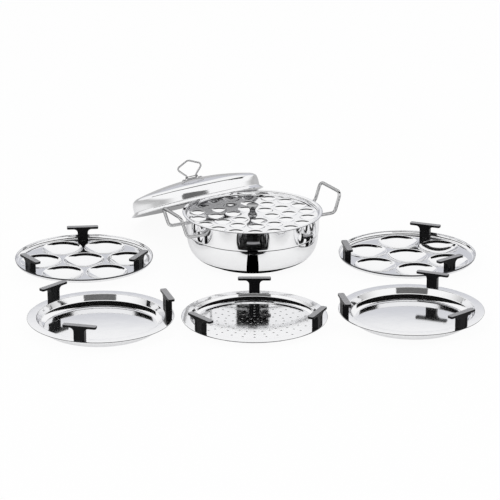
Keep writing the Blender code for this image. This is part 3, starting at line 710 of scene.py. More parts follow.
# %% Steel
def steel(
    name, place=HOME, low=0.05, high=0.10, lines=900.0, line_share=1.0,
    tone=1.0, tint=EDGE_TINT, cut=None, shaded=None,
):
    """Polished steel, from low to high roughness, with spun lines about the axis of its place.

    The edge shade radius is where a painted dark edge starts, as painted shade round the rim,
    and shaded adds one more mask of painted shade.
    """
    material = bpy.data.materials.new(name)
    material.use_nodes = True
    tree = material.node_tree
    shader = tree.nodes["Principled BSDF"]
    shader.inputs["Metallic"].default_value = 1.0
    shader.inputs["Specular Tint"].default_value = (*tint, 1)
    spot = centred(tree, place)
    buffed = effect(tree, polish, spot, Low=low, High=high)
    lathe = effect(tree, spun, spot, Lines=lines)
    light = tuple(tone * value for value in STEEL_LIGHT)
    dark = tuple(tone * value for value in STEEL_DARK)
    colour = mixed(tree, buffed.outputs["Cloud"], light, dark)
    # Painted shade: a dark line along the edge of the rim.
    if cut:
        edge = effect(tree, edge_shade, spot, Radius=cut)
        colour = mixed(tree, edge.outputs["Edge"], colour, PAINTED_DARK)
    # Painted shade: one more dark mask of the piece's own.
    if shaded:
        colour = mixed(tree, shaded(tree, spot), colour, PAINTED_DARK)
    tree.links.new(colour, shader.inputs["Base Color"])
    tree.links.new(buffed.outputs["Roughness"], shader.inputs["Roughness"])
    swell = tree.nodes.new("ShaderNodeBump")
    swell.inputs["Distance"].default_value = WAVE_DEPTH
    tree.links.new(buffed.outputs["Height"], swell.inputs["Height"])
    ridges = tree.nodes.new("ShaderNodeBump")
    ridges.inputs["Distance"].default_value = LINE_DEPTH * line_share
    tree.links.new(lathe.outputs["Line"], ridges.inputs["Height"])
    tree.links.new(swell.outputs["Normal"], ridges.inputs["Normal"])
    tree.links.new(ridges.outputs["Normal"], shader.inputs["Normal"])
    return material


base_metal = steel("base_aluminium", low=0.30, high=0.42)
screw_metal = steel("screw_steel", low=0.18, high=0.28)
print("finishes:", base_metal.name, screw_metal.name)

# %% [markdown]
# ### Black plastic
# The lugs are moulded in black heat-resistant plastic with a soft gloss: a very dark colour, uneven
# roughness and a fine grain. Their upward faces are painted grey: a painted highlight, where the tops
# catch the light.

# %% Black plastic
LUG_BLACK = (0.003, 0.003, 0.0035)
LUG_WORN = (0.007, 0.007, 0.008)
LUG_TOP_HIGHLIGHT = (0.27, 0.27, 0.28)
TOP_HIGHLIGHT_SLOPE = (0.70, 0.97)
GRAIN_DEPTH = 0.00002


def moulded_black(name):
    """Black plastic with a painted highlight on its upward faces."""
    material = bpy.data.materials.new(name)
    material.use_nodes = True
    tree = material.node_tree
    shader = tree.nodes["Principled BSDF"]
    shader.inputs["Specular IOR Level"].default_value = 0.10
    spot = tree.nodes.new("ShaderNodeTexCoord").outputs["Object"]
    buffed = effect(tree, polish, spot, Waves=90.0, Haze=1500.0, Low=0.24, High=0.38)
    colour = mixed(tree, buffed.outputs["Cloud"], LUG_BLACK, LUG_WORN)
    facing = tree.nodes.new("ShaderNodeNewGeometry").outputs["Normal"]
    # Painted highlight: faces that look up are lighter.
    top_highlight = fade(tree, parts_of(tree, facing)[2], *TOP_HIGHLIGHT_SLOPE, 0.0, 1.0)
    tree.links.new(mixed(tree, top_highlight, colour, LUG_TOP_HIGHLIGHT), shader.inputs["Base Color"])
    tree.links.new(buffed.outputs["Roughness"], shader.inputs["Roughness"])
    grain = tree.nodes.new("ShaderNodeBump")
    grain.inputs["Distance"].default_value = GRAIN_DEPTH
    tree.links.new(buffed.outputs["Cloud"], grain.inputs["Height"])
    tree.links.new(grain.outputs["Normal"], shader.inputs["Normal"])
    return material


lug_black = moulded_black("lug_black")
print("finish:", lug_black.name)

# %% [markdown]
# ## The pot
# The pot is drawn from one sheet: a round bowl, a small step out to the upright band above it, a
# small bend at the mouth and a flat lip. Its inner face is grown ring by ring from the middle of the
# floor, and Solidify adds the sheet outside it. The crease between bowl and band gets a line of painted
# shade.

# %% Outline of the pot
POT_HEIGHT = 0.0920
POT_SHEET = 0.0012
RIM_RADIUS = 0.1280
BAND_RADIUS = 0.1216
CREASE_HEIGHT = 0.0560
CREASE_STEP = 0.0011
MOUTH_CONE = 0.0006
MOUTH_BEND = 0.0030
BOWL_FULLNESS = 2.3
BOWL_STEPS = 26
BASE_RADIUS = 0.0840
BASE_HEIGHT = 0.0050
FLOOR_MIDDLE = 0.010
FLOOR_HALFWAY = 0.045
LIP_DROP = 0.0002


def pot_profile():
    """Inner face, from the middle of the floor to the edge of the lip."""
    floor_height = BASE_HEIGHT + POT_SHEET
    bowl_top = CREASE_HEIGHT - CREASE_STEP
    band = BAND_RADIUS - POT_SHEET
    reach = band - CREASE_STEP - BASE_RADIUS
    rise = bowl_top - floor_height
    points = [(FLOOR_MIDDLE, floor_height), (FLOOR_HALFWAY, floor_height)]
    for step in range(BOWL_STEPS + 1):
        angle = math.radians(90 * step / BOWL_STEPS)
        across = math.sin(angle) ** (2 / BOWL_FULLNESS)
        down = math.cos(angle) ** (2 / BOWL_FULLNESS)
        points.append((BASE_RADIUS + reach * across, bowl_top - rise * down))
    points += [
        (band - CREASE_STEP * 0.9, bowl_top + CREASE_STEP * 0.5),
        (band - CREASE_STEP * 0.15, CREASE_HEIGHT + POT_SHEET * 0.35),
        (band, CREASE_HEIGHT + POT_SHEET),
        (band, CREASE_HEIGHT + POT_SHEET * 2),
        (band + MOUTH_CONE, POT_HEIGHT - MOUTH_BEND),
    ]
    bend(points, MOUTH_BEND, 90, 0, 1, 1, 8)
    points += [(RIM_RADIUS - 2 * LIP_DROP, POT_HEIGHT), (RIM_RADIUS, POT_HEIGHT - LIP_DROP)]
    return points


pot_outline = pot_profile()
print("rings:", len(pot_outline))

# %% Pot body
CREASE_SHADE = (0.0005, 0.0010)
EDGE_SHADE_MARGIN = 0.0006


def crease_shade(tree, spot):
    """A thin dark line of painted shade in the crease."""
    crease = CREASE_HEIGHT - CREASE_STEP
    off = maths(tree, "ABSOLUTE", maths(tree, "SUBTRACT", parts_of(tree, spot)[2], crease))
    return fade(tree, off, *CREASE_SHADE, 1.0, 0.0)


pot_steel = steel(
    "pot_steel", low=0.035, high=0.075, lines=700.0, line_share=0.6,
    cut=RIM_RADIUS - EDGE_SHADE_MARGIN, shaded=crease_shade,
)
pot = turned_sheet("pot_body", pot_outline, POT_SHEET)
dress(pot, pot_steel, "kadai", "polished_steel", "kadai_shell")

# %% [markdown]
# ## The capsule base
# Under the bowl a steel dish closes round an aluminium disc. The dish shows as a bright band with a
# rounded lower corner, so it is remodelled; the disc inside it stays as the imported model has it.

# %% Base cap
BASE_CAP_SHEET = 0.0008
BASE_CORNER = 0.0014
CAP_MIDDLE = 0.020
CAP_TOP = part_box("kadai_base_cap")[1].z

inner = BASE_RADIUS - BASE_CAP_SHEET
corner_middle = (inner - BASE_CORNER, BASE_CAP_SHEET + BASE_CORNER)
corner = arc(corner_middle, (BASE_CORNER, BASE_CORNER), -90, 0, 6)
cap_outline = [(CAP_MIDDLE, BASE_CAP_SHEET)] + corner + [(inner, CAP_TOP)]
cap = turned_sheet("pot_base_cap", cap_outline, BASE_CAP_SHEET)
dress(cap, pot_steel, "kadai", "polished_steel", "kadai_base_cap")
paint(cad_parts["kadai_base_core"], base_metal)

# %% [markdown]
# ## Bent wire
# The side handles and the lid's knob are round wire, bent cold. The tool below works as the bench
# does: a circle is run straight to the next bend, spun round the bend's centre, and run on again.
# Blender's spin turns against the right-hand rule here, so the angle is given as a minus.

# %% Wire bending tool
BEND_STEPS = 8
WIRE_CORNERS = 20
WIRE_CREASE = 50.0


def bend_wire(name, corners, bends, radius):
    """A wire along a route of corners, with a bend radius at each inner corner."""
    facing = (corners[1] - corners[0]).to_track_quat("Z", "Y").to_euler()
    bpy.ops.object.select_all(action="DESELECT")
    bpy.ops.mesh.primitive_circle_add(
        vertices=WIRE_CORNERS, radius=radius, location=corners[0], rotation=facing, fill_type="NGON",
    )
    bpy.ops.object.transform_apply()
    piece = bpy.context.object
    piece.name = name
    piece.data.name = name
    bpy.ops.object.mode_set(mode="EDIT")
    spot = corners[0]
    for index in range(1, len(corners) - 1):
        behind = (corners[index] - corners[index - 1]).normalized()
        ahead = (corners[index + 1] - corners[index]).normalized()
        angle = behind.angle(ahead)
        bend_radius = bends[index - 1]
        setback = bend_radius * math.tan(angle / 2)
        start = corners[index] - behind * setback
        pull_faces(*(start - spot))
        axis = behind.cross(ahead).normalized()
        centre = start + axis.cross(behind) * bend_radius
        bpy.ops.mesh.spin(steps=BEND_STEPS, angle=-angle, center=centre, axis=axis)
        spot = corners[index] + ahead * setback
    pull_faces(*(corners[-1] - spot))
    close_up()
    smooth(piece, WIRE_CREASE)
    return piece


print("a bend takes", BEND_STEPS, "steps")

# %% Side handles
HANDLE_WIRE_RADIUS = 0.0029
HANDLE_SPAN = 0.0740
HANDLE_LEG_HEIGHT = 0.0760
HANDLE_KNEE = BAND_RADIUS + 0.0300
HANDLE_BAR = BAND_RADIUS + 0.0420
HANDLE_BAR_HEIGHT = 0.1135
HANDLE_BEND = 0.0100
HANDLE_AZIMUTHS = {"right": 28.0, "left": 208.0}
WELD_DEPTH = 0.0010

half = HANDLE_SPAN / 2
leg = math.sqrt((BAND_RADIUS - WELD_DEPTH) ** 2 - half ** 2)
handle_route = [
    Vector((half, leg, HANDLE_LEG_HEIGHT)),
    Vector((half, HANDLE_KNEE, HANDLE_LEG_HEIGHT)),
    Vector((half, HANDLE_BAR, HANDLE_BAR_HEIGHT)),
    Vector((-half, HANDLE_BAR, HANDLE_BAR_HEIGHT)),
    Vector((-half, HANDLE_KNEE, HANDLE_LEG_HEIGHT)),
    Vector((-half, leg, HANDLE_LEG_HEIGHT)),
]
# The wire's edge tint is black, which darkens its edges at grazing angles: a painted reflection.
wire_steel = steel("wire_steel", low=0.03, high=0.07, line_share=0.0, tone=0.66, tint=(0, 0, 0))

for side, azimuth in HANDLE_AZIMUTHS.items():
    turn = Matrix.Rotation(math.radians(azimuth - 90), 4, "Z")
    route = [turn @ point for point in handle_route]
    handle = bend_wire("handle_" + side, route, [HANDLE_BEND] * 4, HANDLE_WIRE_RADIUS)
    dress(handle, wire_steel, "kadai", "polished_steel", "kadai_handle_" + side)

# %% [markdown]
# ## The lid
# The lid leans on the pot with its edge on the table. It is far easier to model flat and level, so it
# is made at the origin and then put in its place by a matrix that is measured on the imported lid: the
# thinnest direction of its points is its axis, and its lowest ring gives the plane of its edge. Its
# inner face is marked by an attribute, because it is painted darker than the outer one: painted shade.

# %% Where the lid leans
def node_points(node):
    """The distinct points of a CAD node."""
    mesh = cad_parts[node].data
    points = np.empty(len(mesh.vertices) * 3, np.float32)
    mesh.vertices.foreach_get("co", points)
    return np.unique(points.reshape(-1, 3).round(6), axis=0).astype(float)


LID_OUTER_SHARE = 0.6


def lid_place():
    """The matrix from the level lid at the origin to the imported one."""
    points = node_points("lid_shell")
    middle = (points.min(0) + points.max(0)) / 2
    reach = np.linalg.norm(points - middle, axis=1)
    outer = points[reach > reach.max() * LID_OUTER_SHARE]
    centre = outer.mean(0)
    axis = Vector(np.linalg.svd(outer - centre)[2][2])
    if axis.z < 0:
        axis.negate()
    base = Vector(centre) + axis * min((points - centre) @ np.array(axis))
    downhill = (axis * axis.z - Vector((0, 0, 1))).normalized()
    turn = Matrix((downhill, axis.cross(downhill), axis)).transposed().to_4x4()
    return Matrix.Translation(base) @ turn


LID_PLACE = lid_place()
lean = LID_PLACE.to_3x3().col[2].angle(Vector((0, 0, 1)))
print("the lid leans", round(math.degrees(lean), 2), "degrees")

# %% Outline of the lid
LID_SHEET = 0.0010
LID_RADIUS = 0.1290
LID_WALL_RADIUS = 0.1220
LID_FLANGE_RISE = 0.0068
LID_WALL_TOP = 0.0170
LID_SHOULDER = 0.0160
LID_HEIGHT = 0.0464
LANDING_RADIUS = 0.0211
LANDING_MIDDLE = 0.008
LANDING_MARGIN = 0.0008
SHOULDER_BENDS = ((0.0200, 46), (0.0050, 74))
FLANGE_FILLET = 0.0020
LID_EDGE = ((0.0016, 0.0019), (0.0005, 0.0012))

lid_reach = LID_WALL_RADIUS - LID_SHOULDER
lid_rise = LID_HEIGHT - LID_WALL_TOP
CROWN = (lid_reach ** 2 + lid_rise ** 2 - LID_SHOULDER ** 2) / (2 * (lid_rise - LID_SHOULDER))
LANDING = LID_HEIGHT - CROWN + math.sqrt(CROWN ** 2 - LANDING_RADIUS ** 2)


def lid_profile():
    """Outer face, from the level landing in the middle to the rolled edge."""
    tilt = math.degrees(math.asin(lid_reach / (CROWN - LID_SHOULDER)))
    landing_tilt = math.degrees(math.asin(LANDING_RADIUS / CROWN))
    points = [(LANDING_MIDDLE, LANDING), (LANDING_RADIUS - LANDING_MARGIN, LANDING)]
    points += arc((0, LID_HEIGHT - CROWN), (CROWN, CROWN), 90 - landing_tilt, 90 - tilt, 14)
    for radius, end in SHOULDER_BENDS:
        bend(points, radius, tilt, end, 1, -1, 8)
        tilt = end
    last_radius = (LID_WALL_RADIUS - points[-1][0]) / (1 - math.sin(math.radians(tilt)))
    bend(points, last_radius, tilt, 90, 1, -1, 6)
    slope = math.degrees(math.atan2(LID_FLANGE_RISE - LID_SHEET, LID_RADIUS - LID_WALL_RADIUS))
    setback = FLANGE_FILLET * math.tan(math.radians(90 - slope) / 2)
    points.append((LID_WALL_RADIUS, LID_FLANGE_RISE + setback))
    bend(points, FLANGE_FILLET, 90, slope, 1, -1, 5)
    return points + [(LID_RADIUS - inwards, height) for inwards, height in LID_EDGE]


lid_outline = lid_profile()
print("rings:", len(lid_outline))

# %% Lid shell
LID_INSIDE_SHADE = 0.52
LID_EDGE_SHADE_MARGIN = 0.0008

lid = turned_sheet("lid", lid_outline, LID_SHEET)
inner_face = lid.data.attributes.new("inner_face", "FLOAT", "FACE")
for face in lid.data.polygons:
    outwards = face.center - Vector((0, 0, -LID_RADIUS))
    inner_face.data[face.index].value = float(face.normal.dot(outwards) < 0)
lid.data.transform(LID_PLACE)


def lid_inside_shade(tree, spot):
    """Painted shade: the inner face is painted darker than the outer one."""
    made = tree.nodes.new("ShaderNodeAttribute")
    made.attribute_name = "inner_face"
    return maths(tree, "MULTIPLY", made.outputs["Fac"], LID_INSIDE_SHADE)


lid_steel = steel(
    "lid_steel", LID_PLACE, low=0.06, high=0.12, lines=1300.0,
    cut=LID_RADIUS - LID_EDGE_SHADE_MARGIN, shaded=lid_inside_shade,
)
dress(lid, lid_steel, "lid", "polished_steel", "lid_shell")

# %% [markdown]
# ## The lid's knob
# A closed wire loop stands in a small hat-shaped strap, which two rivets hold to the level landing of
# the lid. The strap starts as a plane whose edges are extruded along the hat's outline; Solidify and
# Bevel finish it.

# %% Strap
KNOB_TURN = 57.0
KNOB_WIRE_RADIUS = 0.00165
KNOB_FOOT_SPREAD = 0.0090
BRACKET_SHEET = 0.0012
BRACKET_HEIGHT = 0.0062
BRACKET_WIDTH = 0.0120
BRACKET_EAR = 0.0070
BRACKET_TOP_HALF = 0.01155
BRACKET_FOOT_HALF = 0.01275
EAR_ROUND = 0.0040
STRAP_EDGE = {"width": 0.0003, "segments": 3, "limit_method": "ANGLE", "angle_limit": math.radians(35)}
FIT = 0.0003
knob_turn = Matrix.Rotation(math.radians(KNOB_TURN), 4, "Z")
KNOB_PLACE = LID_PLACE @ Matrix.Translation((0, 0, LANDING)) @ knob_turn

strap = plane("knob_strap", (2 * BRACKET_TOP_HALF, BRACKET_WIDTH), (0, 0, FIT + BRACKET_HEIGHT))
bpy.ops.object.transform_apply()
bpy.ops.object.mode_set(mode="EDIT")
for sign in (1, -1):
    top_edge = sign * BRACKET_TOP_HALF
    pick("EDGE", lambda co: abs(co.x - top_edge) < SNAP and co.z > FIT)
    pull_edges(sign * (BRACKET_FOOT_HALF - BRACKET_TOP_HALF), 0, BRACKET_SHEET - BRACKET_HEIGHT)
    pull_edges(sign * BRACKET_EAR, 0, 0)
ear_end = BRACKET_FOOT_HALF + BRACKET_EAR
pick("VERT", lambda co: abs(abs(co.x) - ear_end) < SNAP)
bpy.ops.mesh.bevel(offset=EAR_ROUND, segments=6, affect="VERTICES")
face_up()
thicken(strap, BRACKET_SHEET)
apply_modifier(strap, "BEVEL", **STRAP_EDGE)
smooth(strap, WIRE_CREASE)
strap.data.transform(KNOB_PLACE)
dress(strap, wire_steel, "lid", "polished_steel", "lid_knob_bracket")

# %% Wire loop
KNOB_CORNER_SPREAD = 0.0252
KNOB_CORNER_HEIGHT = 0.0252
KNOB_APEX_HEIGHT = 0.0373
KNOB_LOW = KNOB_WIRE_RADIUS + FIT
KNOB_NECK = BRACKET_HEIGHT + KNOB_WIRE_RADIUS
KNOB_BENDS = (0.0025, 0.0025, 0.0050, 0.0090, 0.0050, 0.0025, 0.0025)

knob_route = [
    Vector((0, 0, KNOB_LOW)),
    Vector((KNOB_FOOT_SPREAD, 0, KNOB_LOW)),
    Vector((KNOB_FOOT_SPREAD, 0, KNOB_NECK)),
    Vector((KNOB_CORNER_SPREAD, 0, KNOB_CORNER_HEIGHT)),
    Vector((0, 0, KNOB_APEX_HEIGHT)),
    Vector((-KNOB_CORNER_SPREAD, 0, KNOB_CORNER_HEIGHT)),
    Vector((-KNOB_FOOT_SPREAD, 0, KNOB_NECK)),
    Vector((-KNOB_FOOT_SPREAD, 0, KNOB_LOW)),
    Vector((0, 0, KNOB_LOW)),
]
loop = bend_wire("knob_loop", knob_route, KNOB_BENDS, KNOB_WIRE_RADIUS)
loop.data.transform(KNOB_PLACE)
dress(loop, wire_steel, "lid", "polished_steel", "lid_knob_loop")

# %% Rivets
RIVET_HEAD_RADIUS = 0.0029
RIVET_HEAD_HEIGHT = 0.0014
RIVET_SHANK_RADIUS = 0.0016
RIVET_SPREAD = BRACKET_FOOT_HALF + BRACKET_EAR / 2
RIVET_GRIP = BRACKET_SHEET + FIT + LID_SHEET

head = FIT + BRACKET_SHEET
under = head - RIVET_GRIP - FIT
rivet_outline = [
    (RIVET_HEAD_RADIUS / 2, under - RIVET_HEAD_HEIGHT / 2),
    (RIVET_HEAD_RADIUS, under - RIVET_HEAD_HEIGHT / 4),
    (RIVET_HEAD_RADIUS, under),
    (RIVET_SHANK_RADIUS, under),
    (RIVET_SHANK_RADIUS, head),
]
rivet_outline += arc((0, head), (RIVET_HEAD_RADIUS, RIVET_HEAD_HEIGHT), 0, 80, 6)
rivet_outline += [(0, head + RIVET_HEAD_HEIGHT)]
for side, sign in (("right", 1), ("left", -1)):
    rivet = turned_solid("knob_rivet_" + side, rivet_outline, 24, WIRE_CREASE)
    rivet.data.transform(KNOB_PLACE @ Matrix.Translation((sign * RIVET_SPREAD, 0, 0)))
    dress(rivet, wire_steel, "lid", "polished_steel", "lid_rivet_" + side)

# %% [markdown]
# ## Pressed plates
# A plate of cups is one sheet. Each cup grows down from its mouth ring, the rim grows up from the
# plate's edge ring, and then one Fill joins all the rings that lie open at the level of the web. So
# web, cups and rim are a single clean surface, and Solidify presses it out of one sheet. The steeper
# lip inside each mouth is what mirrors the hoop as a black arc.

# %% Tools for pressed cups
CUP_LIP_SLOPE = 46.0
CUP_LIP_FOOT = 36.0
CUP_SLOPE = 30.0


def add_ring(radius, height, corners, centre):
    """One more ring in the sheet that is being edited; it stays selected."""
    bpy.ops.mesh.primitive_circle_add(vertices=corners, radius=radius, location=(*centre, height))


def bowl(route, depth, slope, steps):
    """Adds a bowl inwards: a straight flank, then a round bottom down to the pole."""
    radius, top = route[-1]
    flank = math.tan(math.radians(slope))
    rounding = math.tan(math.radians(slope) / 2)
    turn_radius = (radius * flank - depth) / (flank - rounding)
    middle = (radius + turn_radius) / 2
    route.append((middle, top - (radius - middle) * flank))
    route.append((turn_radius, top - (radius - turn_radius) * flank))
    sphere = turn_radius / math.sin(math.radians(slope))
    bend(route, sphere, slope, 0, -1, -1, steps)
    route[-1] = (0, top - depth)


def press(profile, corners, centre):
    """One cup, from its mouth to its pole."""
    add_ring(*profile[0], corners, centre)
    grow(profile, centre)


def cup(route, top, mouth_bend, lip_bend, foot_bend, depth, steps):
    """Adds a cup to its mouth: a bend, a steep lip, a bend and the bowl. Steps are one for each."""
    bend(route, mouth_bend, 0, CUP_LIP_SLOPE, -1, -1, steps[0])
    bend(route, lip_bend, CUP_LIP_SLOPE, CUP_LIP_FOOT, -1, -1, steps[1])
    bend(route, foot_bend, CUP_LIP_FOOT, CUP_SLOPE, -1, -1, steps[2])
    bowl(route, route[-1][1] - top + depth, CUP_SLOPE, steps[3])
    return route


print("cups lean at", CUP_SLOPE, "degrees inside their lips")

# %% Tools for loose plates
PLATE_SHEET = 0.0010
PLATE_RADIUS = 0.1250
SCREW_HOLE_RADIUS = 0.0019
SCREW_HOLE_CORNERS = 16
VENT_RADIUS = 0.0009
VENT_CORNERS = 12
VENT_RING = 0.1175


def middle_of(node):
    """The middle of a CAD node's box, seen from above."""
    low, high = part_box(node)
    return ((low.x + high.x) / 2, (low.y + high.y) / 2)


def from_middle(centre, radius, azimuth):
    """A place on a ring round a centre."""
    angle = math.radians(azimuth)
    return (centre[0] + radius * math.cos(angle), centre[1] + radius * math.sin(angle))


def lug_spots(plate):
    """Where the lugs of a plate stand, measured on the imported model."""
    return [middle_of("%s_lug_%d" % (plate, number)) for number in (1, 2, 3)]


def fill_web(height):
    """Joins every ring that lies open at the web's height."""
    pick("EDGE", lambda co: abs(co.z - height) < SNAP, open_only=True)
    bpy.ops.mesh.fill(use_beauty=True)


def close_web(node, height, vents=()):
    """Punches the screw holes and the vents of a loose plate, and fills its web."""
    for spot in lug_spots(node):
        add_ring(SCREW_HOLE_RADIUS, height, SCREW_HOLE_CORNERS, spot)
    for azimuth in vents:
        add_ring(VENT_RADIUS, height, VENT_CORNERS, from_middle(middle_of(node), VENT_RING, azimuth))
    fill_web(height)


def finish_plate(piece, node, name, line_share, shaded=None):
    """Gives a loose plate its sheet, its steel and its body."""
    face_up()
    thicken(piece, PLATE_SHEET)
    smooth(piece)
    place = Matrix.Translation((*middle_of(node), 0))
    cut = PLATE_RADIUS - EDGE_SHADE_MARGIN
    finish = steel(name, place, line_share=line_share, cut=cut, shaded=shaded)
    dress(piece, finish, node + "_body", "polished_steel", node)


print("tools for plates of", PLATE_SHEET * 1000, "mm sheet")

# %% [markdown]
# ## Idli plates
# Each has seven shallow round cups, one in the middle and six round it. A raised bead runs round
# every cup and an upturned band round the plate, which make the thin sheet stiff.

# %% Idli plates
IDLI_CUP_RADIUS = 0.0360
IDLI_CUP_DEPTH = 0.0120
IDLI_BEAD_WIDTH = 0.0022
IDLI_BEAD_HEIGHT = 0.0012
IDLI_RING_RADIUS = 0.0780
IDLI_RING_CUPS = 6
IDLI_BAND_WIDTH = 0.0056
IDLI_BAND_HEIGHT = 0.0070
IDLI_WEB = IDLI_CUP_DEPTH + PLATE_SHEET
IDLI_CUP_PHASES = {"idli_plate_left": 5.0, "idli_plate_right": 39.0}
IDLI_CUP_CORNERS = 48
IDLI_CUP_BENDS = (0.0024, 0.0280, 0.0020)


def idli_cup():
    """A bead round the mouth, then the cup."""
    middle = (IDLI_CUP_RADIUS + IDLI_BEAD_WIDTH / 2, IDLI_WEB)
    bead = arc(middle, (IDLI_BEAD_WIDTH / 2, IDLI_BEAD_HEIGHT), 0, 90, 5)
    return cup(bead, IDLI_WEB, *IDLI_CUP_BENDS, IDLI_CUP_DEPTH, (5, 5, 2, 8))


def idli_rim():
    """The upturned band, from the web to its top edge."""
    top = PLATE_RADIUS - PLATE_SHEET
    edge = top - IDLI_BAND_WIDTH
    return arc((edge, IDLI_WEB + IDLI_BAND_HEIGHT), (IDLI_BAND_WIDTH, IDLI_BAND_HEIGHT), -90, 0, 10)


for name, phase in IDLI_CUP_PHASES.items():
    centre = middle_of(name)
    rim = idli_rim()
    plate = open_ring(name.replace("idli_plate", "idli_dish"), *rim[0], centre=centre)
    grow(rim, centre)
    cups = [centre]
    for step in range(IDLI_RING_CUPS):
        cups.append(from_middle(centre, IDLI_RING_RADIUS, phase + 360 * step / IDLI_RING_CUPS))
    for spot in cups:
        press(idli_cup(), IDLI_CUP_CORNERS, spot)
    close_web(name, IDLI_WEB)
    finish_plate(plate, name, name + "_steel", 0.5)

# %% [markdown]
# ## Trays
# The two dhokla trays are plain round pans with a level flange, punched with two small vents. The
# steamer plate is a shallower one, whose floor is punched with rings of small holes. The walls of
# its holes are painted dark: painted shade. Between floor and wall runs a long flank, bent by a few
# degrees only, which mirrors the hoop as a thin black ring.

# %% Dhokla trays
DHOKLA_FLANGE_INNER = 0.1086
DHOKLA_DEPTH = 0.0180
DHOKLA_BENDS = (0.0012, 0.0400, 0.0040, 72.0)
VENT_AZIMUTHS = {"dhokla_tray_left": (120.0, 265.4), "dhokla_tray_right": (78.0, 177.0)}
EDGE_ROLL = 0.0007
LIP_BEND = 0.0010
FLOOR_RINGS = (0.9, 0.75, 0.6, 0.45, 0.3, 0.15)
FLOOR_CROWN = 0.0005
FLANK_FOOT = 33.0
FLANK_TOP = 47.0


def tray_wall(flange_inner, depth, bends):
    """Upper face, from the floor's edge to the flange: short bend, long bent flank, corner and wall."""
    foot_bend, flank_bend, corner_bend, wall_slope = bends
    route = [(0.0, PLATE_SHEET)]
    bend(route, foot_bend, 0, FLANK_FOOT, 1, 1, 4)
    bend(route, flank_bend, FLANK_FOOT, FLANK_TOP, 1, 1, 6)
    bend(route, corner_bend, FLANK_TOP, wall_slope, 1, 1, 6)
    top = PLATE_SHEET + depth
    lip = LIP_BEND * math.tan(math.radians(wall_slope) / 2)
    rise = top - route[-1][1] - lip * math.sin(math.radians(wall_slope))
    straight(route, rise / math.sin(math.radians(wall_slope)), wall_slope, 1, 1)
    bend(route, LIP_BEND, wall_slope, 0, 1, 1, 4)
    offset = flange_inner + lip - route[-1][0]
    return [(radius + offset, height) for radius, height in route[:-1]] + [(flange_inner + lip, top)]


def tray_floor(edge):
    """The floor, from its edge to its middle, pressed up by a hair so that it doesn't rock."""
    rings = [(edge, PLATE_SHEET)]
    rings += [(edge * share, PLATE_SHEET + FLOOR_CROWN * (1 - share ** 2)) for share in FLOOR_RINGS]
    return rings + [(0, PLATE_SHEET + FLOOR_CROWN)]


def add_flange(height, centre):
    """Adds the flange's outer ring and its edge, rolled down by a hair."""
    edge = [
        (PLATE_RADIUS - EDGE_ROLL * 2, height),
        (PLATE_RADIUS - EDGE_ROLL, height - EDGE_ROLL * 0.1),
        (PLATE_RADIUS, height - EDGE_ROLL * 0.6),
    ]
    add_ring(*edge[0], ROUND, centre)
    grow(edge, centre)


for name, vents in VENT_AZIMUTHS.items():
    centre = middle_of(name)
    wall = tray_wall(DHOKLA_FLANGE_INNER, DHOKLA_DEPTH, DHOKLA_BENDS)
    flange = PLATE_SHEET + DHOKLA_DEPTH
    tray = open_ring(name.replace("tray", "pan"), *wall[0], centre=centre)
    grow(tray_floor(wall[0][0]), centre)
    add_ring(*wall[0], ROUND, centre)
    grow(wall, centre)
    add_flange(flange, centre)
    close_web(name, flange, vents)
    finish_plate(tray, name, name + "_steel", 0.8)

# %% Steamer plate
STEAMER_FLANGE_INNER = 0.1102
STEAMER_DEPTH = 0.0100
STEAMER_BENDS = (0.0008, 0.0310, 0.0020, 70.0)
STEAM_HOLE_RADIUS = 0.0014
STEAM_HOLE_SHOULDER = (0.0004, 0.0003)
STEAM_HOLE_CORNERS = 12
STEAM_HOLE_RINGS = (
    (0.090, 24), (0.077, 24), (0.064, 24), (0.0505, 24),
    (0.037, 12), (0.0245, 12), (0.012, 6),
)
HOLE_WALL_MARGIN = 0.00005
HOLE_FIELD = 0.093

centre = middle_of("steamer_plate")
wall = tray_wall(STEAMER_FLANGE_INNER, STEAMER_DEPTH, STEAMER_BENDS)
flange = PLATE_SHEET + STEAMER_DEPTH
steamer = open_ring("steamer", *wall[0], centre=centre)
grow(wall, centre)
add_flange(flange, centre)
close_web("steamer_plate", flange)
hole = [(STEAM_HOLE_RADIUS + STEAM_HOLE_SHOULDER[0], PLATE_SHEET)]
hole += [(STEAM_HOLE_RADIUS, PLATE_SHEET - STEAM_HOLE_SHOULDER[1])]
press(hole, STEAM_HOLE_CORNERS, centre)
for radius, count in STEAM_HOLE_RINGS:
    for step in range(count):
        press(hole, STEAM_HOLE_CORNERS, from_middle(centre, radius, 360 * step / count))
fill_web(PLATE_SHEET)


def hole_wall_shade(tree, spot):
    """Painted shade on the punched walls of the holes: inside the field of holes, and between the sheet's
    two faces.
    """
    up = parts_of(tree, spot)[2]
    below = maths(tree, "LESS_THAN", up, PLATE_SHEET - HOLE_WALL_MARGIN)
    above = maths(tree, "GREATER_THAN", up, HOLE_WALL_MARGIN)
    within = maths(tree, "LESS_THAN", away_from(tree, spot, (0, 0, 0)), HOLE_FIELD)
    return maths(tree, "MULTIPLY", maths(tree, "MULTIPLY", below, above), within)


finish_plate(steamer, "steamer_plate", "steamer_steel", 0.5, hole_wall_shade)

# %% [markdown]
# ## The mini-idli plate
# It drops into the pot's mouth: 36 small cups in three rings round a waisted knob. The knob's waist
# is painted darker than its top: painted shade.

# %% Mini-idli plate
MINI_WEB = POT_HEIGHT - 0.0076
MINI_EDGE = ((0.11798, MINI_WEB), (0.12024, MINI_WEB + 0.0008), (0.12075, MINI_WEB + 0.0020))
MINI_CUP_RADIUS = 0.0154
MINI_CUP_DEPTH = 0.0056
MINI_CUP_RINGS = ((0.0355, 6, -10.0), (0.0670, 12, 6.5), (0.1015, 18, 12.7))
MINI_CUP_CORNERS = 32
MINI_CUP_BENDS = (0.0008, 0.0120, 0.0010)

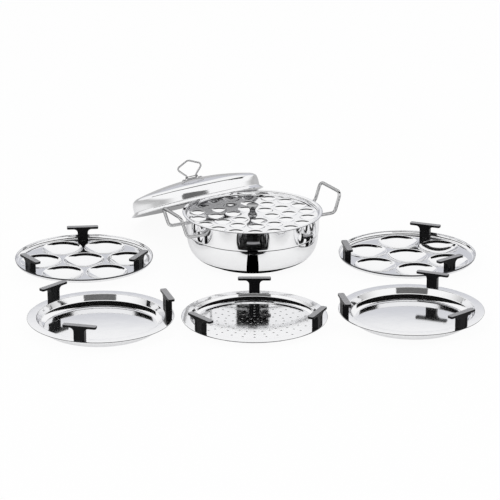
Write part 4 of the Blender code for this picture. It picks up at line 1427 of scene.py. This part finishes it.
mini_cup = cup([(MINI_CUP_RADIUS, MINI_WEB)], MINI_WEB, *MINI_CUP_BENDS, MINI_CUP_DEPTH, (3, 4, 2, 6))
mini = open_ring("mini_dish", *MINI_EDGE[0])
grow(list(MINI_EDGE))
for radius, count, phase in MINI_CUP_RINGS:
    for step in range(count):
        press(mini_cup, MINI_CUP_CORNERS, from_middle((0, 0), radius, phase + 360 * step / count))
add_ring(SCREW_HOLE_RADIUS, MINI_WEB, SCREW_HOLE_CORNERS, (0, 0))
fill_web(MINI_WEB)
face_up()
thicken(mini, PLATE_SHEET)
smooth(mini)
mini_steel = steel("mini_plate_steel", line_share=0.5)
dress(mini, mini_steel, "mini_plate", "polished_steel", "mini_idli_plate")

# %% The knob in its middle
knob_low, knob_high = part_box("mini_idli_knob")
KNOB_HEIGHT = knob_high.z - knob_low.z
WAIST_SHARE = 0.40
WAIST_NEAR = 0.20
WAIST_FAR = 0.40
WAIST_SHADE = 0.80
KNOB_SHARES = (
    (0.0036, 0.0), (0.0083, 0.0), (0.0085, 0.02), (0.0085, 0.07), (0.0078, 0.11),
    (0.0062, 0.19), (0.0054, 0.29), (0.0050, 0.42), (0.0053, 0.52), (0.0064, 0.63),
    (0.0084, 0.75), (0.0102, 0.84), (0.0109, 0.89), (0.0110, 0.92), (0.0108, 0.95),
    (0.0101, 0.975), (0.0070, 0.993), (0.0030, 1.0), (0, 1.0),
)
knob_outline = [(radius, knob_low.z + KNOB_HEIGHT * share) for radius, share in KNOB_SHARES]
knob = turned_solid("mini_knob", knob_outline, 64, 40.0)


def knob_waist_shade(tree, spot):
    """Painted shade in the waist."""
    waist = knob_low.z + KNOB_HEIGHT * WAIST_SHARE
    off = maths(tree, "ABSOLUTE", maths(tree, "SUBTRACT", parts_of(tree, spot)[2], waist))
    return fade(tree, off, KNOB_HEIGHT * WAIST_NEAR, KNOB_HEIGHT * WAIST_FAR, WAIST_SHADE, 0.0)


# Its near-black edge tint darkens the knob's edges at grazing angles: a painted reflection.
knob_steel = steel(
    "knob_steel", low=0.06, high=0.12, lines=2500.0, tone=0.7, tint=(0.1, 0.1, 0.1), shaded=knob_waist_shade,
)
dress(knob, knob_steel, "mini_plate", "polished_steel", "mini_idli_knob")

# %% [markdown]
# ## T-shaped lugs
# The lugs are both handles and spacers: the plates stack on their bars. One lug is modelled and then
# copied. A plane is the front of the stem; its top edge is extruded into the bar, the whole front is
# extruded to depth, and the two inner corners are bevelled into the round fillets. Two grooves are
# then pressed into the stem's faces, and a Bevel modifier takes the edge off everything.

# %% Model one lug
LUG_HEIGHT = 0.0265
LUG_BAR_HALF = 0.0290
LUG_BAR_THICKNESS = 0.0040
LUG_STEM_HALF = 0.0094
LUG_FILLET = 0.0070
LUG_DEPTH = 0.0112
GROOVE_INNER = 0.0034
GROOVE_OUTER = 0.0052
GROOVE_TOP = 0.0170
GROOVE_DEPTH = 0.0007
BAR_END_ROUND = 0.0030
LUG_EDGE = {"width": 0.00045, "segments": 3, "limit_method": "ANGLE", "angle_limit": math.radians(40)}
UNDER_BAR = LUG_HEIGHT - LUG_BAR_THICKNESS

front = (0, -LUG_DEPTH / 2, UNDER_BAR / 2)
lug = plane("lug_pattern", (2 * LUG_STEM_HALF, UNDER_BAR), front, math.radians(90))
bpy.ops.object.transform_apply()
bpy.ops.object.mode_set(mode="EDIT")
pick("EDGE", lambda co: abs(co.z - UNDER_BAR) < SNAP)
pull_edges(0, 0, LUG_BAR_THICKNESS)
for sign in (1, -1):
    pick("EDGE", lambda co: abs(co.x - sign * LUG_STEM_HALF) < SNAP and co.z > UNDER_BAR - SNAP)
    pull_edges(sign * (LUG_BAR_HALF - LUG_STEM_HALF), 0, 0)
bpy.ops.mesh.select_all(action="SELECT")
bpy.ops.mesh.dissolve_limited(angle_limit=math.radians(1))
bpy.ops.mesh.select_all(action="SELECT")
pull_faces(0, LUG_DEPTH, 0)
bpy.ops.mesh.select_all(action="SELECT")
bpy.ops.mesh.normals_make_consistent(inside=False)
pick("EDGE", lambda co: abs(abs(co.x) - LUG_STEM_HALF) < SNAP and abs(co.z - UNDER_BAR) < SNAP)
bpy.ops.mesh.bevel(offset=LUG_FILLET, segments=8, affect="EDGES")
print("lug faces:", len(bmesh.from_edit_mesh(lug.data).faces))

# %% Round the bar's ends and press the grooves
mesh = bmesh.from_edit_mesh(lug.data)
bpy.ops.mesh.select_all(action="DESELECT")
for line_edge in mesh.edges:
    first, second = line_edge.verts
    if abs(abs(first.co.x) - LUG_BAR_HALF) < SNAP and abs(abs(second.co.x) - LUG_BAR_HALF) < SNAP:
        line_edge.select_set(abs(first.co.z - second.co.z) > SNAP)
bmesh.update_edit_mesh(lug.data)
bpy.ops.mesh.bevel(offset=BAR_END_ROUND, segments=5, affect="EDGES")
for at in (-GROOVE_OUTER, -GROOVE_INNER, GROOVE_INNER, GROOVE_OUTER):
    pick("FACE", lambda co: abs(abs(co.y) - LUG_DEPTH / 2) < SNAP)
    bpy.ops.mesh.bisect(plane_co=(at, 0, 0), plane_no=(1, 0, 0))
pick("FACE", lambda co: abs(abs(co.y) - LUG_DEPTH / 2) < SNAP)
bpy.ops.mesh.bisect(plane_co=(0, 0, GROOVE_TOP), plane_no=(0, 0, 1))


def in_groove(co):
    """Tells whether a corner lies between the two edges of a groove."""
    return GROOVE_INNER - SNAP < abs(co.x) < GROOVE_OUTER + SNAP and co.z < GROOVE_TOP + SNAP


for sign in (1, -1):
    pick("FACE", lambda co: in_groove(co) and abs(co.y - sign * LUG_DEPTH / 2) < SNAP)
    pull_faces(0, -sign * GROOVE_DEPTH, 0)
close_up()
apply_modifier(lug, "BEVEL", **LUG_EDGE)
smooth(lug, WIRE_CREASE)
print("lug pattern:", len(lug.data.polygons), "faces")

# %% Copy it to its fifteen places
PLATES = ("idli_plate_left", "idli_plate_right", "dhokla_tray_left", "dhokla_tray_right", "steamer_plate")

for plate_name in PLATES:
    centre = Vector(middle_of(plate_name))
    for number, spot in enumerate(lug_spots(plate_name), 1):
        node = "%s_lug_%d" % (plate_name, number)
        outward = Vector(spot) - centre
        turn = Matrix.Rotation(math.atan2(outward.y, outward.x) - math.pi / 2, 4, "Z")
        grip_name = "%s_grip_%d" % (plate_name.replace("_plate", ""), number)
        copy = bpy.data.objects.new(grip_name, lug.data.copy())
        bpy.context.collection.objects.link(copy)
        copy.data.transform(Matrix.Translation((*spot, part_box(node)[0].z)) @ turn)
        dress(copy, lug_black, plate_name + "_body", "lug_plastic", node)
bpy.data.objects.remove(lug)

# %% [markdown]
# ## Screws
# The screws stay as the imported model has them. They only need their metal.

# %% Screws
screws = [node for name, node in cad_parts.items() if "screw" in name]
for screw in screws:
    paint(screw, screw_metal)
print(len(screws), "screws")
